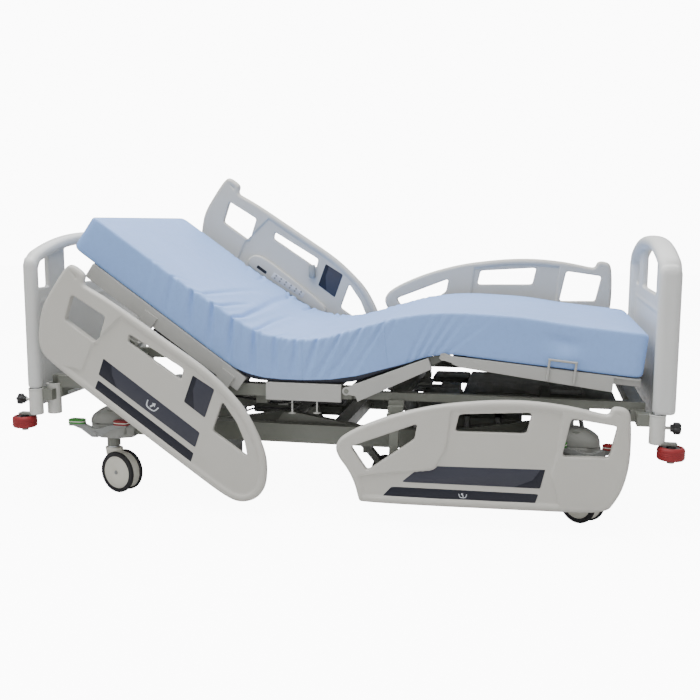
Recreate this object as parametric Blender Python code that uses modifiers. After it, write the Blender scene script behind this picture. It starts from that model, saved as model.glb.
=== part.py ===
"""Adjustable hospital bed: a wheeled base, a lifting frame, a four-part platform and four side rails.

Metres, +Z up. X runs along the bed with the head at -X, Y across it with the near side at -Y.
The origin is on the floor, midway between the head and foot posts.
"""

import math

import bmesh
import bpy
from mathutils import Matrix, Vector

# Driving dimensions
GAP = 0.0003            # clearance between pieces that touch
PIN_R = 0.011           # main pivot pins
PIN_FIT = 0.0004        # radial clearance of a pivot
CASTOR_X, CASTOR_Y = 0.820, 0.345
WHEEL_R, WHEEL_W = 0.075, 0.022
TRAIL = 0.035           # castor wheel axle behind its swivel
CASTOR_TURN = {"head_near": -18, "foot_near": -42, "head_far": 25, "foot_far": 12}
BASE_BEAM_Y = (0.295, 0.340)
BASE_BEAM_Z = (0.209, 0.275)
LIFT_PIVOT = (-0.165, 0.285)
LIFT_END = (-0.636, 0.210)
FOOT_LIFT_X = 0.700     # base pivot of the foot arm
JACK_X = FOOT_LIFT_X + LIFT_END[0] - LIFT_PIVOT[0]
FRAME_Z = 0.385
POST_X, POST_Y, POST_R = 1.062, 0.452, 0.024
SOCKET_TOP = 0.388
BACK_ANGLE = math.radians(35.0)
BACK_PIVOT = (-0.250, 0.500)
THIGH_PIVOT = (0.062, 0.415)
CALF_PIVOT = (0.385, 0.543)
THIGH_ANGLE = math.radians(21.6)
CALF_ANGLE = math.radians(-5.35)
GUIDE_R = 0.112         # arc guides that carry the back about its virtual pivot
DECK_Y = 0.422
MATTRESS_Y, MATTRESS_T = 0.426, 0.137
RAIL_Y = (0.4815, 0.512)
RAIL_RISE = 0.4076
ARM_LEN, ARM_TILT = 0.206, math.radians(81.6)
ARM_FOOT_Z = 0.340      # fixed pivots of the foot rails' upper arms
ARM_HEAD_N = 0.115      # and of the head rails', above the back's own datum
ARM_STEP = 0.050        # the lower arm's pivots sit this far below
HEAD_DATUM = (0.213, -0.159)    # corner of a lowered head rail's outline, in the back's frame
FOOT_DATUM = (0.040, 0.0565)    # and of a foot rail's, along the bed and up
HEAD_ARMS = (0.340, 0.680)      # where the arms join, along the rails from that corner
FOOT_ARMS = (0.190, 0.700)
BUMPER_X, BUMPER_Y = 1.105, 0.460
KNOB_Z = 0.346
SIDES = {"near": -1, "far": 1}

COLORS = {
    "frame_paint": ((0.32, 0.33, 0.31), 0.45, 0.0),
    "deck_paint": ((0.45, 0.45, 0.44), 0.45, 0.0),
    "shell_plastic": ((0.56, 0.56, 0.55), 0.5, 0.0),
    "board_plastic": ((0.66, 0.66, 0.65), 0.45, 0.0),
    "mattress_cover": ((0.42, 0.52, 0.72), 0.7, 0.0),
    "tyre_rubber": ((0.03, 0.03, 0.03), 0.7, 0.0),
    "steel": ((0.55, 0.55, 0.55), 0.3, 1.0),
    "pedal_paint": ((0.20, 0.20, 0.19), 0.5, 0.0),
    "bumper_rubber": ((0.30, 0.03, 0.03), 0.6, 0.0),
    "dark_plastic": ((0.04, 0.04, 0.045), 0.5, 0.0),
    "drive_plastic": ((0.36, 0.37, 0.36), 0.5, 0.0),
}


def clear_scene():
    for obj in list(bpy.data.objects):
        bpy.data.objects.remove(obj, do_unlink=True)


def make_collections():
    parts = bpy.data.collections.new("hospital_bed")
    cutters = bpy.data.collections.new("hospital_bed_cutters")
    bpy.context.scene.collection.children.link(parts)
    bpy.context.scene.collection.children.link(cutters)
    cutters.hide_render = True
    return parts, cutters


def material(slot):
    found = bpy.data.materials.get(slot)
    if found:
        return found
    color, rough, metal = COLORS[slot]
    made = bpy.data.materials.new(slot)
    made.use_nodes = True
    shader = made.node_tree.nodes["Principled BSDF"]
    shader.inputs["Base Color"].default_value = (*color, 1.0)
    shader.inputs["Roughness"].default_value = rough
    shader.inputs["Metallic"].default_value = metal
    made.diffuse_color = (*color, 1.0)
    return made


# Solids. Each returns a closed bmesh in world coordinates.

def extruded(outline, low, high, axis="y", holes=()):
    """A flat outline with holes, drawn in the two axes other than `axis`, extruded from low to high."""
    bm = bmesh.new()
    put = {
        "x": lambda a, b, c: (c, a, b),
        "y": lambda a, b, c: (a, c, b),
        "z": lambda a, b, c: (a, b, c),
    }[axis]
    edges = []
    for loop in (outline, *holes):
        verts = [bm.verts.new(put(a, b, low)) for a, b in loop]
        edges += [bm.edges.new((verts[i - 1], verts[i])) for i in range(len(verts))]
    bmesh.ops.triangle_fill(bm, edges=edges, use_beauty=True)
    inner = [e for e in bm.edges if len(e.link_faces) == 2]
    bmesh.ops.dissolve_limit(bm, angle_limit=0.001, verts=bm.verts[:], edges=inner)
    faces = bm.faces[:]
    pushed = bmesh.ops.extrude_face_region(bm, geom=faces)
    moved = [v for v in pushed["geom"] if isinstance(v, bmesh.types.BMVert)]
    shift = Vector(put(0, 0, high - low))
    bmesh.ops.translate(bm, verts=moved, vec=shift)
    bmesh.ops.recalc_face_normals(bm, faces=bm.faces[:])
    return bm


def box(x0, x1, y0, y1, z0, z1):
    bm = bmesh.new()
    middle = Matrix.Translation(((x0 + x1) / 2, (y0 + y1) / 2, (z0 + z1) / 2))
    bmesh.ops.create_cube(bm, size=1.0, matrix=middle @ Matrix.Diagonal((x1 - x0, y1 - y0, z1 - z0, 1)))
    return bm


def circle(a, b, r, count=16):
    turns = [2 * math.pi * i / count for i in range(count)]
    return [(a + r * math.cos(t), b + r * math.sin(t)) for t in turns]


def disc(a, b, r, low, high, axis="y", count=16):
    """A cylinder along `axis` from low to high, centred on (a, b) in the two other axes."""
    middle = (low + high) / 2
    place = {
        "x": Matrix.Translation((middle, a, b)) @ Matrix.Rotation(math.radians(90), 4, "Y"),
        "y": Matrix.Translation((a, middle, b)) @ Matrix.Rotation(math.radians(90), 4, "X"),
        "z": Matrix.Translation((a, b, middle)),
    }[axis]
    bm = bmesh.new()
    bmesh.ops.create_cone(bm, cap_ends=True, segments=count, radius1=r, radius2=r, depth=high - low,
                          matrix=place)
    bmesh.ops.recalc_face_normals(bm, faces=bm.faces[:])
    return bm


def ring(a, b, r, bore, low, high, axis="y", count=16):
    return extruded(circle(a, b, r, count), low, high, axis, [circle(a, b, bore, count)])


def rounded(x0, x1, y0, y1, r, count=4):
    """A rectangle's outline with rounded corners."""
    points = []
    corners = ((x1 - r, y1 - r, 0), (x0 + r, y1 - r, 90), (x0 + r, y0 + r, 180), (x1 - r, y0 + r, 270))
    for cx, cy, start in corners:
        for i in range(count + 1):
            turn = math.radians(start + 90 * i / count)
            points.append((cx + r * math.cos(turn), cy + r * math.sin(turn)))
    return points


def bar_between(p, q, width, low, high):
    """A flat bar in the X-Z plane from p to q with round ends."""
    turn = math.atan2(q[1] - p[1], q[0] - p[0])
    points = []
    for (cx, cz), start in ((q, -90), (p, 90)):
        for i in range(9):
            a = turn + math.radians(start + 180 * i / 8)
            points.append((cx + width / 2 * math.cos(a), cz + width / 2 * math.sin(a)))
    return extruded(points, low, high, "y")


def moved(bm, matrix):
    bmesh.ops.transform(bm, matrix=matrix, verts=bm.verts[:])
    bmesh.ops.recalc_face_normals(bm, faces=bm.faces[:])
    return bm


def mirrored(bm, axis):
    scale = Vector((1, 1, 1))
    scale["xyz".index(axis)] = -1
    return moved(bm, Matrix.Diagonal((*scale, 1)))


def both(side, y0, y1):
    """The span y0..y1 on one side, low first."""
    return (y0, y1) if side > 0 else (-y1, -y0)


def back_frame():
    """The back's own frame: X towards the foot along the deck and Z square to it.

    Shapes are drawn with their length s towards the head and mirrored into it.
    """
    return Matrix.Rotation(BACK_ANGLE, 4, "Y")


def turned(pivot, angle):
    """A frame at `pivot` whose X axis rises by `angle` towards the foot."""
    return Matrix.Translation((pivot[0], 0, pivot[1])) @ Matrix.Rotation(-angle, 4, "Y")


class Builder:
    def __init__(self):
        self.parts, self.cutters = make_collections()

    def helper(self, bm, name):
        mesh = bpy.data.meshes.new(name)
        bm.to_mesh(mesh)
        bm.free()
        obj = bpy.data.objects.new(name, mesh)
        obj.display_type = "WIRE"
        obj.hide_render = True
        self.cutters.objects.link(obj)
        return obj

    def node(self, name, slot, solids, cuts=(), pivot=(0, 0, 0), bevel=0.0, segments=1, frame=None):
        """One named piece: the first solid, joined with the others, less the cuts.

        The solids are drawn in `frame`. The piece keeps that frame's rotation, with its origin at the pivot.
        """
        frame = frame or Matrix.Identity(4)
        turn = frame.to_3x3()
        away = Matrix.Translation(turn.inverted() @ (frame.translation - Vector(pivot)))
        place = Matrix.Translation(Vector(pivot)) @ turn.to_4x4()
        mesh = bpy.data.meshes.new(name)
        first = moved(solids[0], away)
        first.to_mesh(mesh)
        first.free()
        mesh.materials.append(material(slot))
        obj = bpy.data.objects.new(name, mesh)
        obj.matrix_world = place
        self.parts.objects.link(obj)
        for kind, pieces in (("UNION", solids[1:]), ("DIFFERENCE", cuts)):
            for index, piece in enumerate(pieces):
                helper = self.helper(moved(piece, away), f"{name}_{kind.lower()}_{index}")
                helper.matrix_world = place
                step = obj.modifiers.new(f"{kind.lower()}_{index}", "BOOLEAN")
                step.operation = kind
                step.solver = "EXACT"
                step.object = helper
        if bevel:
            edge = obj.modifiers.new("edges", "BEVEL")
            edge.width = bevel
            edge.segments = segments
            edge.limit_method = "ANGLE"
            edge.angle_limit = math.radians(50)
            edge.use_clamp_overlap = True
        mesh.shade_smooth()
        mesh.set_sharp_from_angle(angle=math.radians(35))
        return obj


# Base

def base_frame(b):
    solids = []
    for side in (-1, 1):
        y0, y1 = both(side, *BASE_BEAM_Y)
        solids.append(box(-0.800, 0.800, y0, y1, *BASE_BEAM_Z))
    for end in (-1, 1):
        x0, x1 = (0.760, 0.815) if end > 0 else (-0.815, -0.760)
        solids.append(box(x0, x1, -0.372, 0.372, 0.213, 0.271))
        for side in (-1, 1):
            solids.append(disc(end * CASTOR_X, side * CASTOR_Y, 0.024, 0.168, 0.300, "z", 18))
    solids.append(box(-0.030, 0.022, -0.305, 0.305, 0.215, 0.262))
    solids.append(box(-0.770, -0.430, -0.030, 0.030, 0.217, 0.256))
    solids.append(box(-0.028, 0.020, -0.052, -0.034, 0.165, 0.225))
    solids.append(box(-0.028, 0.020, -0.024, -0.006, 0.165, 0.225))
    hump = [(-0.225, 0.240), (-0.225, 0.264), (-0.188, 0.308), (-0.142, 0.308), (0.080, 0.272),
            (0.080, 0.240)]
    foot_end = FOOT_LIFT_X + 0.0335
    foot_hump = [(x + FOOT_LIFT_X - LIFT_PIVOT[0] if x < 0 else foot_end, z) for x, z in hump]
    for side in (-1, 1):
        y0, y1 = both(side, 0.272, 0.3005)
        solids.append(extruded(hump, y0, y1, "y"))
        solids.append(extruded(foot_hump, y0, y1, "y"))
    cuts = []
    for px in (LIFT_PIVOT[0], FOOT_LIFT_X):
        for side in (-1, 1):
            y0, y1 = both(side, 0.266, 0.298)
            cuts.append(disc(px, LIFT_PIVOT[1], PIN_R + PIN_FIT, y0, y1, "y", 16))
    for end in (-1, 1):
        for side in (-1, 1):
            cuts.append(disc(end * CASTOR_X, side * CASTOR_Y, PIN_R + PIN_FIT, 0.160, 0.245, "z", 18))
    cuts.append(disc(-0.004, 0.185, 0.0064, -0.060, 0.0, "y", 16))
    b.node("base_frame", "frame_paint", solids, cuts)


def corner_cover(b, end_name, side_name):
    end = -1 if end_name == "head" else 1
    side = SIDES[side_name]
    y0, y1 = both(side, 0.276, 0.385)
    shell = extruded(rounded(0.735, 0.902, y0, y1, 0.022), 0.200, 0.311, "z")
    cut_y = (y0 - 0.02, y1 - 0.006) if side > 0 else (y0 + 0.006, y1 + 0.02)
    cavity = box(0.741, 0.896, *cut_y, 0.190, 0.3045)
    b0, b1 = both(side, 0.290, 0.345)
    beam_way = box(0.700, 0.760, b0, b1, 0.190, 0.284)
    bar_way = box(0.845, 0.880, *both(side, 0.370, 0.400), 0.190, 0.240)
    pieces = [shell, cavity, beam_way, bar_way]
    if end < 0:
        pieces = [mirrored(p, "x") for p in pieces]
    b.node(f"corner_cover_{end_name}_{side_name}", "shell_plastic", pieces[:1], pieces[1:])


def castor(b, end_name, side_name):
    end = -1 if end_name == "head" else 1
    px, py = end * CASTOR_X, SIDES[side_name] * CASTOR_Y
    swivel = math.radians(CASTOR_TURN[f"{end_name}_{side_name}"])
    turn = Matrix.Translation((px, py, 0)) @ Matrix.Rotation(swivel, 4, "Z")
    web = [(-0.024, 0.155), (-0.020, 0.120), (0.012, 0.058),
           (0.058, 0.058), (0.066, 0.110), (0.060, 0.155)]
    solids = [extruded(web, -0.007, 0.007, "y")]
    solids.append(extruded(rounded(-0.034, 0.072, -0.030, 0.030, 0.026), 0.1515, 0.163, "z"))
    solids.append(disc(0, 0, PIN_R, 0.158, 0.240, "z", 18))
    bore = disc(TRAIL, WHEEL_R, 0.0124, -0.02, 0.02, "y", 14)
    b.node(f"castor_fork_{end_name}_{side_name}", "drive_plastic", [moved(s, turn) for s in solids],
           [moved(bore, turn)], (px, py, 0.163))
    wheel = []
    for side in (-1, 1):
        y0, y1 = both(side, 0.0085, 0.0085 + WHEEL_W)
        wheel.append(disc(TRAIL, WHEEL_R, WHEEL_R, y0, y1, "y", 32))
    wheel.append(disc(TRAIL, WHEEL_R, 0.012, -0.012, 0.012, "y", 14))
    centre = turn @ Vector((TRAIL, 0, WHEEL_R))
    b.node(f"castor_wheel_{end_name}_{side_name}", "tyre_rubber",
           [moved(w, turn) for w in wheel], (), centre)


def brake_treadle(b, end_name):
    end = -1 if end_name == "head" else 1
    px, pz = 0.862, 0.222
    bar = disc(px, pz, 0.009, -0.414, 0.414, "y", 6)
    solids = [bar]
    lever = [(0.738, 0.262), (0.738, 0.252), (0.800, 0.236), (0.852, 0.208), (0.874, 0.208),
             (0.915, 0.236), (0.960, 0.252), (0.960, 0.262),
             (0.905, 0.254), (0.872, 0.238), (0.852, 0.238), (0.810, 0.252)]
    for side in (-1, 1):
        y0, y1 = both(side, 0.3885, 0.410)
        solids.append(extruded(lever, y0, y1, "y"))
        solids.append(box(0.738, 0.786, y0 - 0.004 * (side < 0), y1 + 0.004 * (side > 0), 0.250, 0.2660))
        solids.append(box(0.908, 0.960, y0 - 0.004 * (side < 0), y1 + 0.004 * (side > 0), 0.247, 0.2660))
    if end < 0:
        solids = [mirrored(s, "x") for s in solids]
    b.node(f"brake_treadle_{end_name}", "pedal_paint", solids, (), (end * px, 0, pz))


def fifth_wheel(b):
    y = -0.029
    axle = (0.134, 0.050)
    top = (-0.004, 0.185)
    solids = [bar_between(top, (0.070, 0.125), 0.026, y - 0.0045, y + 0.0045)]
    solids.append(box(0.052, 0.082, y - 0.024, y + 0.024, 0.112, 0.137))
    for side in (-1, 1):
        y0, y1 = both(side, 0.016, 0.023)
        solids.append(bar_between((0.070, 0.125), axle, 0.022, y + y0, y + y1))
    solids.append(disc(top[0], top[1], 0.006, y - 0.0225, y + 0.0225, "y", 16))
    solids.append(disc(axle[0], axle[1], 0.006, y - 0.022, y + 0.022, "y", 16))
    b.node("fifth_wheel_arm", "frame_paint", solids, (), (top[0], y, top[1]))
    wheel = ring(axle[0], axle[1], 0.050, 0.0064, y - 0.0145, y + 0.0145, "y", 32)
    b.node("fifth_wheel", "tyre_rubber", [wheel], (), (axle[0], y, axle[1]))


# Lift

def lift_arm(b, name, px, driven):
    end = (px + LIFT_END[0] - LIFT_PIVOT[0], LIFT_END[1])
    pivot = (px, LIFT_PIVOT[1])
    solids = [disc(pivot[0], pivot[1], 0.018, -0.262, 0.262, "y", 16)]
    solids.append(disc(pivot[0], pivot[1], PIN_R, -0.2945, 0.2945, "y", 16))
    for side in (-1, 1):
        solids.append(bar_between(pivot, end, 0.044, *both(side, 0.222, 0.246)))
        solids.append(disc(end[0], end[1], PIN_R, *both(side, 0.190, 0.2660), "y", 16))
    cuts = []
    if driven:
        lean = math.radians(24.5)
        out = Vector((math.sin(lean), -math.cos(lean)))
        across = Vector((out.y, -out.x))

        def plate(near, far, half):
            corners = ((near, -half), (far, -half), (far, half), (near, half))
            return [tuple(Vector(pivot) + out * r + across * w) for r, w in corners]

        lug = plate(0.010, 0.126, 0.018)
        slot = plate(0.090, 0.1165, 0.0100)
        for side in (-1, 1):
            solids.append(extruded(lug, *both(side, 0.018, 0.026), "y"))
            cuts.append(extruded(slot, *both(side, 0.010, 0.034), "y"))
    b.node(name, "frame_paint", solids, cuts, (pivot[0], 0, pivot[1]))


def head_yoke(b):
    x, z = LIFT_END
    solids = [box(x - 0.014, x + 0.014, -0.212, 0.212, 0.264, 0.290)]
    plate = [(x - 0.022, z - 0.022), (x + 0.022, z - 0.022), (x + 0.022, 0.292), (x - 0.022, 0.292)]
    cuts = []
    for side in (-1, 1):
        solids.append(extruded(plate, *both(side, 0.1980, 0.2160), "y"))
        cuts.append(disc(x, z, PIN_R + PIN_FIT, *both(side, 0.186, 0.230), "y", 16))
    b.node("head_yoke", "frame_paint", solids, cuts, (x, 0, z))


def jack(b):
    x, z = JACK_X, LIFT_END[1]
    solids = [disc(x, 0, 0.026, 0.120, 0.346, "z", 18)]
    solids.append(box(x - 0.020, x + 0.020, -0.2165, 0.2165, z - 0.020, z + 0.020))
    cuts = [disc(x, 0, 0.0165, 0.130, 0.360, "z", 18)]
    for side in (-1, 1):
        cuts.append(disc(x, z, PIN_R + PIN_FIT, *both(side, 0.182, 0.230), "y", 16))
    b.node("jack_tube", "drive_plastic", solids, cuts, (x, 0, z))
    rod = [disc(x, 0, 0.0160, 0.134, 0.356, "z", 18)]
    rod.append(disc(x, 0.3645, 0.0150, -0.034, 0.034, "y", 16))
    b.node("jack_rod", "steel", rod, (), (x, 0, 0.3645))


def lift_actuator(b):
    z = 0.185
    solids = [extruded(rounded(-0.545, -0.435, 0.112, 0.2167, 0.018), -0.045, 0.045, "y")]
    solids.append(disc(0, z, 0.022, -0.445, -0.300, "x", 16))
    solids.append(disc(-0.470, 0, 0.028, 0.056, 0.125, "z", 18))
    cuts = [disc(0, z, 0.0125, -0.530, -0.290, "x", 16)]
    b.node("lift_actuator_body", "drive_plastic", solids, cuts)
    pin_x = LIFT_PIVOT[0] + 0.1 * math.tan(math.radians(24.5))
    rod = [disc(0, z, 0.0120, -0.415, pin_x, "x", 16)]
    rod.append(disc(pin_x, z, 0.0135, -0.012, 0.012, "y", 14))
    rod.append(disc(pin_x, z, 0.0060, -0.030, 0.030, "y", 16))
    b.node("lift_actuator_rod", "steel", rod, (), (pin_x, 0, z))


# Upper frame

def upper_frame(b):
    solids, cuts = [], []
    for side in (-1, 1):
        solids.append(box(-1.030, 0.078, *both(side, 0.362, 0.406), FRAME_Z, 0.4265))
        solids.append(box(0.060, 1.030, *both(side, 0.362, 0.392), FRAME_Z, 0.4115))
        solids.append(disc(THIGH_PIVOT[0], THIGH_PIVOT[1], 0.008, *both(side, 0.380, 0.4225), "y", 14))
        solids.append(box(-0.270, -0.230, *both(side, 0.330, 0.366), 0.352, 0.3880))
        guide = arc_band(*BACK_PIVOT, GUIDE_R + 0.0190, 0.0310, -43, 43, 8)
        way = arc_band(*BACK_PIVOT, GUIDE_R + 0.0066, 0.0132, -39.6, 39.6, 8)
        solids.append(extruded(guide, *both(side, 0.340, 0.350), "y"))
        cuts.append(extruded(way, *both(side, 0.3285, 0.3545), "y"))
        for end in (-1, 1):
            outrigger = sorted((end * 1.000, end * 1.0645))
            solids.append(box(*outrigger, *both(side, 0.3960, POST_Y), 0.346, 0.3845))
            corner = sorted((end * 0.985, end * 1.030))
            solids.append(box(*corner, *both(side, 0.365, 0.4055), 0.350, 0.390))
            solids.append(disc(end * POST_X, side * POST_Y, POST_R, 0.294, SOCKET_TOP, "z", 18))
            shelf = sorted((end * (POST_X - 0.010), end * 1.122))
            solids.append(box(*shelf, *both(side, 0.444, 0.474), 0.2935, 0.3000))
            solids.append(disc(end * BUMPER_X, side * BUMPER_Y, 0.0060, 0.240, 0.296, "z", 10))
            solids.append(disc(end * BUMPER_X, side * BUMPER_Y, 0.0120, 0.236, 0.2442, "z", 10))
            cuts.append(disc(end * POST_X, side * POST_Y, 0.0195, 0.302, 0.395, "z", 18))
            screw_way = sorted((end * 1.060, end * 1.110))
            cuts.append(disc(side * POST_Y, KNOB_Z, 0.0056, *screw_way, "x", 16))
        solids.append(box(-0.661, -0.611, *both(side, 0.030, 0.366), 0.3560, 0.3880))
        solids.append(box(-0.660, -0.612, *both(side, 0.2505, 0.2640), 0.186, 0.370))
        cuts.append(disc(LIFT_END[0], LIFT_END[1], PIN_R + PIN_FIT, *both(side, 0.240, 0.275), "y", 16))
    solids.append(box(-0.661, -0.611, -0.040, 0.040, 0.3560, 0.3880))
    solids.append(box(JACK_X - 0.030, JACK_X + 0.030, -0.366, 0.366, 0.3850, 0.4080))
    solids.append(box(JACK_X - 0.080, JACK_X + 0.080, -0.050, 0.050, 0.3810, 0.3900))
    for end in (-1, 1):
        solids.append(box(*sorted((end * 0.985, end * 1.030)), -0.380, 0.380, 0.3650, 0.4040))
    solids.append(disc(-1.018, -0.403, 0.0245, 0.291, 0.400, "z", 18))
    cuts.append(disc(-1.018, -0.403, 0.0185, 0.296, 0.440, "z", 18))
    for side in (-1, 1):
        for index, arm in enumerate(FOOT_ARMS):
            x = FOOT_DATUM[0] + arm
            step = -ARM_STEP * index
            solids.append(box(x - 0.026, x + 0.026, *both(side, 0.385, 0.4065), 0.354, 0.3880))
            solids.append(box(x - 0.0255, x + 0.0255, *both(side, 0.395, 0.4240), 0.354, 0.3715))
            solids.append(box(x - 0.026, x + 0.026, *both(side, 0.4185, 0.4255), 0.322 + step, 0.3720))
            for half in (-1, 1):
                ear = sorted((x + half * 0.0155, x + half * 0.026))
                solids.append(box(*ear, *both(side, 0.4195, 0.4475), 0.330 + step, 0.350 + step))
            cuts.append(disc(side * 0.440, ARM_FOOT_Z + step, 0.0058, x - 0.040, x + 0.040, "x", 8))
    b.node("upper_frame", "frame_paint", solids, cuts, (LIFT_END[0], 0, LIFT_END[1]))


def bumpers_and_knobs(b):
    for end_name, end in (("head", -1), ("foot", 1)):
        for side_name, side in SIDES.items():
            x, y = end * BUMPER_X, side * BUMPER_Y
            wheel = ring(x, y, 0.0430, 0.0064, 0.2455, 0.2890, "z", 18)
            b.node(f"bumper_wheel_{end_name}_{side_name}", "bumper_rubber", [wheel], (), (x, y, 0.267))
            star = []
            for i in range(20):
                r = 0.0205 if i % 4 in (0, 1) else 0.0165
                t = 2 * math.pi * i / 20
                star.append((side * POST_Y + r * math.cos(t), KNOB_Z + r * math.sin(t)))
            x0, x1 = sorted((end * 1.100, end * 1.134))
            solids = [extruded(star, x0, x1, "x")]
            s0, s1 = sorted((end * 1.0835, end * 1.110))
            solids.append(disc(side * POST_Y, KNOB_Z, 0.0052, s0, s1, "x", 16))
            b.node(f"clamp_knob_{end_name}_{side_name}", "dark_plastic", solids, (),
                   (end * 1.115, side * POST_Y, KNOB_Z))


def control_box(b):
    solids = [extruded(rounded(-0.150, 0.010, -0.226, -0.095, 0.012), 0.330, 0.372, "z")]
    for x in (-0.120, -0.020):
        solids.append(box(x - 0.012, x + 0.012, -0.362 + GAP, -0.200, 0.366, 0.3705))
        solids.append(box(x - 0.012, x + 0.012, -0.362 + GAP, -0.3570, 0.366, 0.4150))
    b.node("control_box", "drive_plastic", solids)


def board(b, name, end):
    """A moulded end board on two pegs, arched up to the middle, with three openings below its top rail."""
    bottom, shoulder, crown, half = 0.319, 0.864, 0.936, 0.476

    def top(y):
        return crown - (crown - shoulder) * (abs(y) / half) ** 2.4

    def below(y):
        return top(y) - 0.046

    def line(y0, y1, height, count):
        places = [y0 + (y1 - y0) * i / count for i in range(count + 1)]
        return [(y, height(y)) for y in places]

    outline = [(-half, SOCKET_TOP + GAP), (-0.427, SOCKET_TOP + GAP), (-0.415, bottom + 0.012),
               (-0.400, bottom)]
    outline += [(-y, z) for y, z in outline[::-1]]
    outline += [(half, 0.820)] + line(0.464, -0.464, top, 18) + [(-half, 0.820)]
    holes = []
    for y0, y1 in ((-0.420, -0.327), (-0.207, 0.207), (0.327, 0.420)):
        hole = [(y0 + 0.012, 0.742), (y1 - 0.012, 0.742), (y1, 0.754)]
        hole += line(y1, y0, below, 8)
        holes.append(hole + [(y0, 0.754)])
    x0, x1 = sorted((end * 1.066, end * 1.0880))
    solids = [extruded(outline, x0, x1, "x", holes)]
    for side in (-1, 1):
        y0, y1 = both(side, 0.4290, 0.4760)
        section = rounded(*sorted((end * 1.038, end * 1.086)), y0, y1, 0.018)
        solids.append(extruded(section, SOCKET_TOP + GAP, 0.850, "z"))
        solids.append(disc(end * POST_X, side * POST_Y, 0.0190, 0.3030, 0.400, "z", 18))
    top_rail = line(0.464, -0.464, top, 18) + line(-0.464, 0.464, below, 18)
    solids.append(extruded(top_rail, *sorted((end * 1.052, end * 1.0880)), "x"))
    b.node(name, "board_plastic", solids, (), (end * POST_X, 0, SOCKET_TOP))


# Platform

def arc_band(cx, cz, r, width, start, stop, steps):
    """The outline of an arc about (cx, cz); angles in degrees from straight down, towards +X."""
    turns = [math.radians(start + (stop - start) * i / steps) for i in range(steps + 1)]
    outer = [(cx + r * math.sin(t), cz - r * math.cos(t)) for t in turns]
    inner = [(cx + (r - width) * math.sin(t), cz - (r - width) * math.cos(t)) for t in turns]
    return outer + inner[::-1]


def deck(x0, x1, corner, low, high):
    """The sheet that a section's mattress lies on, a little narrower than its side flanges."""
    half = DECK_Y - 0.0007
    return extruded(rounded(x0, x1, -half, half, corner), low, high, "z")


def back_section(b):
    away = back_frame().inverted() @ Vector((BACK_PIVOT[0], 0, BACK_PIVOT[1]))
    s0, n0 = -away.x, away.z
    solids = [deck(0.4925, 1.1667, 0.012, 0.1945, 0.2000)]
    cuts = []
    for side in (-1, 1):
        solids.append(box(0.4935, 1.1657, *both(side, 0.4085, DECK_Y), 0.1450, 0.1985))
        solids.append(box(0.540, 1.150, *both(side, 0.140, 0.165), 0.1740, 0.1965))
        shoe = arc_band(s0, n0, GUIDE_R + 0.0060, 0.0120, -38.4, -31.6, 2)
        solids.append(extruded(shoe, *both(side, 0.3200, 0.3520), "y"))
        hanger = arc_band(s0, n0, GUIDE_R + 0.0120, 0.0240, -39.0, 0.0, 5)
        solids.append(extruded(hanger, *both(side, 0.3150, 0.3270), "y"))
        solids.append(box(s0 + 0.004, s0 + 0.040, *both(side, 0.3145, 0.3275), 0.1550, 0.1955))
        solids.append(box(s0 - 0.004, s0 + 0.038, *both(side, 0.3148, 0.3272), 0.1440, 0.1660))
        for index, arm in enumerate(HEAD_ARMS):
            s = HEAD_DATUM[0] + arm
            n = ARM_HEAD_N - ARM_STEP * index
            solids.append(box(s - 0.0272, s + 0.0272, *both(side, 0.4150, 0.4255), n - 0.012, 0.1800))
            for half in (-1, 1):
                ear = sorted((s + half * 0.0155, s + half * 0.026))
                solids.append(box(*ear, *both(side, 0.4200, 0.4475), n - 0.010, n + 0.010))
            cuts.append(disc(side * 0.440, n, 0.0058, s - 0.040, s + 0.040, "x", 8))
    for s in (0.560, 1.120):
        solids.append(box(s, s + 0.030, -0.333, 0.333, 0.1720, 0.1960))
    # The drive lug hangs from the lower end and hooks towards the foot, with a slot that points at the pivot.
    lug = [(s0 + 0.060, n0 - 0.070), (s0 + 0.004, n0 - 0.070), (s0, n0 - 0.098), (s0 - 0.114, n0 - 0.152),
           (s0 - 0.129, n0 - 0.158), (s0 - 0.101, n0 - 0.178), (s0 + 0.040, n0 - 0.104)]
    y0 = -0.060
    lean = math.radians(35.0)

    def point(r, w):
        return (s0 - r * math.sin(lean) - w * math.cos(lean), n0 - r * math.cos(lean) + w * math.sin(lean))

    def plate(near, far, width):
        return [point(near, -width), point(far, -width), point(far, width), point(near, width)]

    slot = plate(0.154, 0.205, 0.0110)
    pad = plate(0.132, 0.2110, 0.0200)
    for half in (-1, 1):
        solids.append(extruded(lug, y0 + half * 0.021 - 0.004, y0 + half * 0.021 + 0.004, "y"))
        solids.append(extruded(pad, y0 + half * 0.021 - 0.0045, y0 + half * 0.021 + 0.0045, "y"))
    cuts.append(extruded(slot, y0 - 0.04, y0 + 0.04, "y"))
    solids = [mirrored(s, "x") for s in solids]
    cuts = [mirrored(c, "x") for c in cuts]
    b.node("back_section", "deck_paint", solids, cuts, (BACK_PIVOT[0], 0, BACK_PIVOT[1]),
           frame=back_frame())


def seat_section(b):
    solids = [deck(-0.219, 0.045, 0.008, 0.4300, 0.4360)]
    for side in (-1, 1):
        solids.append(box(-0.218, 0.044, *both(side, 0.4085, DECK_Y), 0.3760, 0.4350))
        solids.append(box(-0.150, 0.030, *both(side, 0.370, 0.400), 0.4268, 0.4320))
    b.node("seat_section", "deck_paint", solids)


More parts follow.
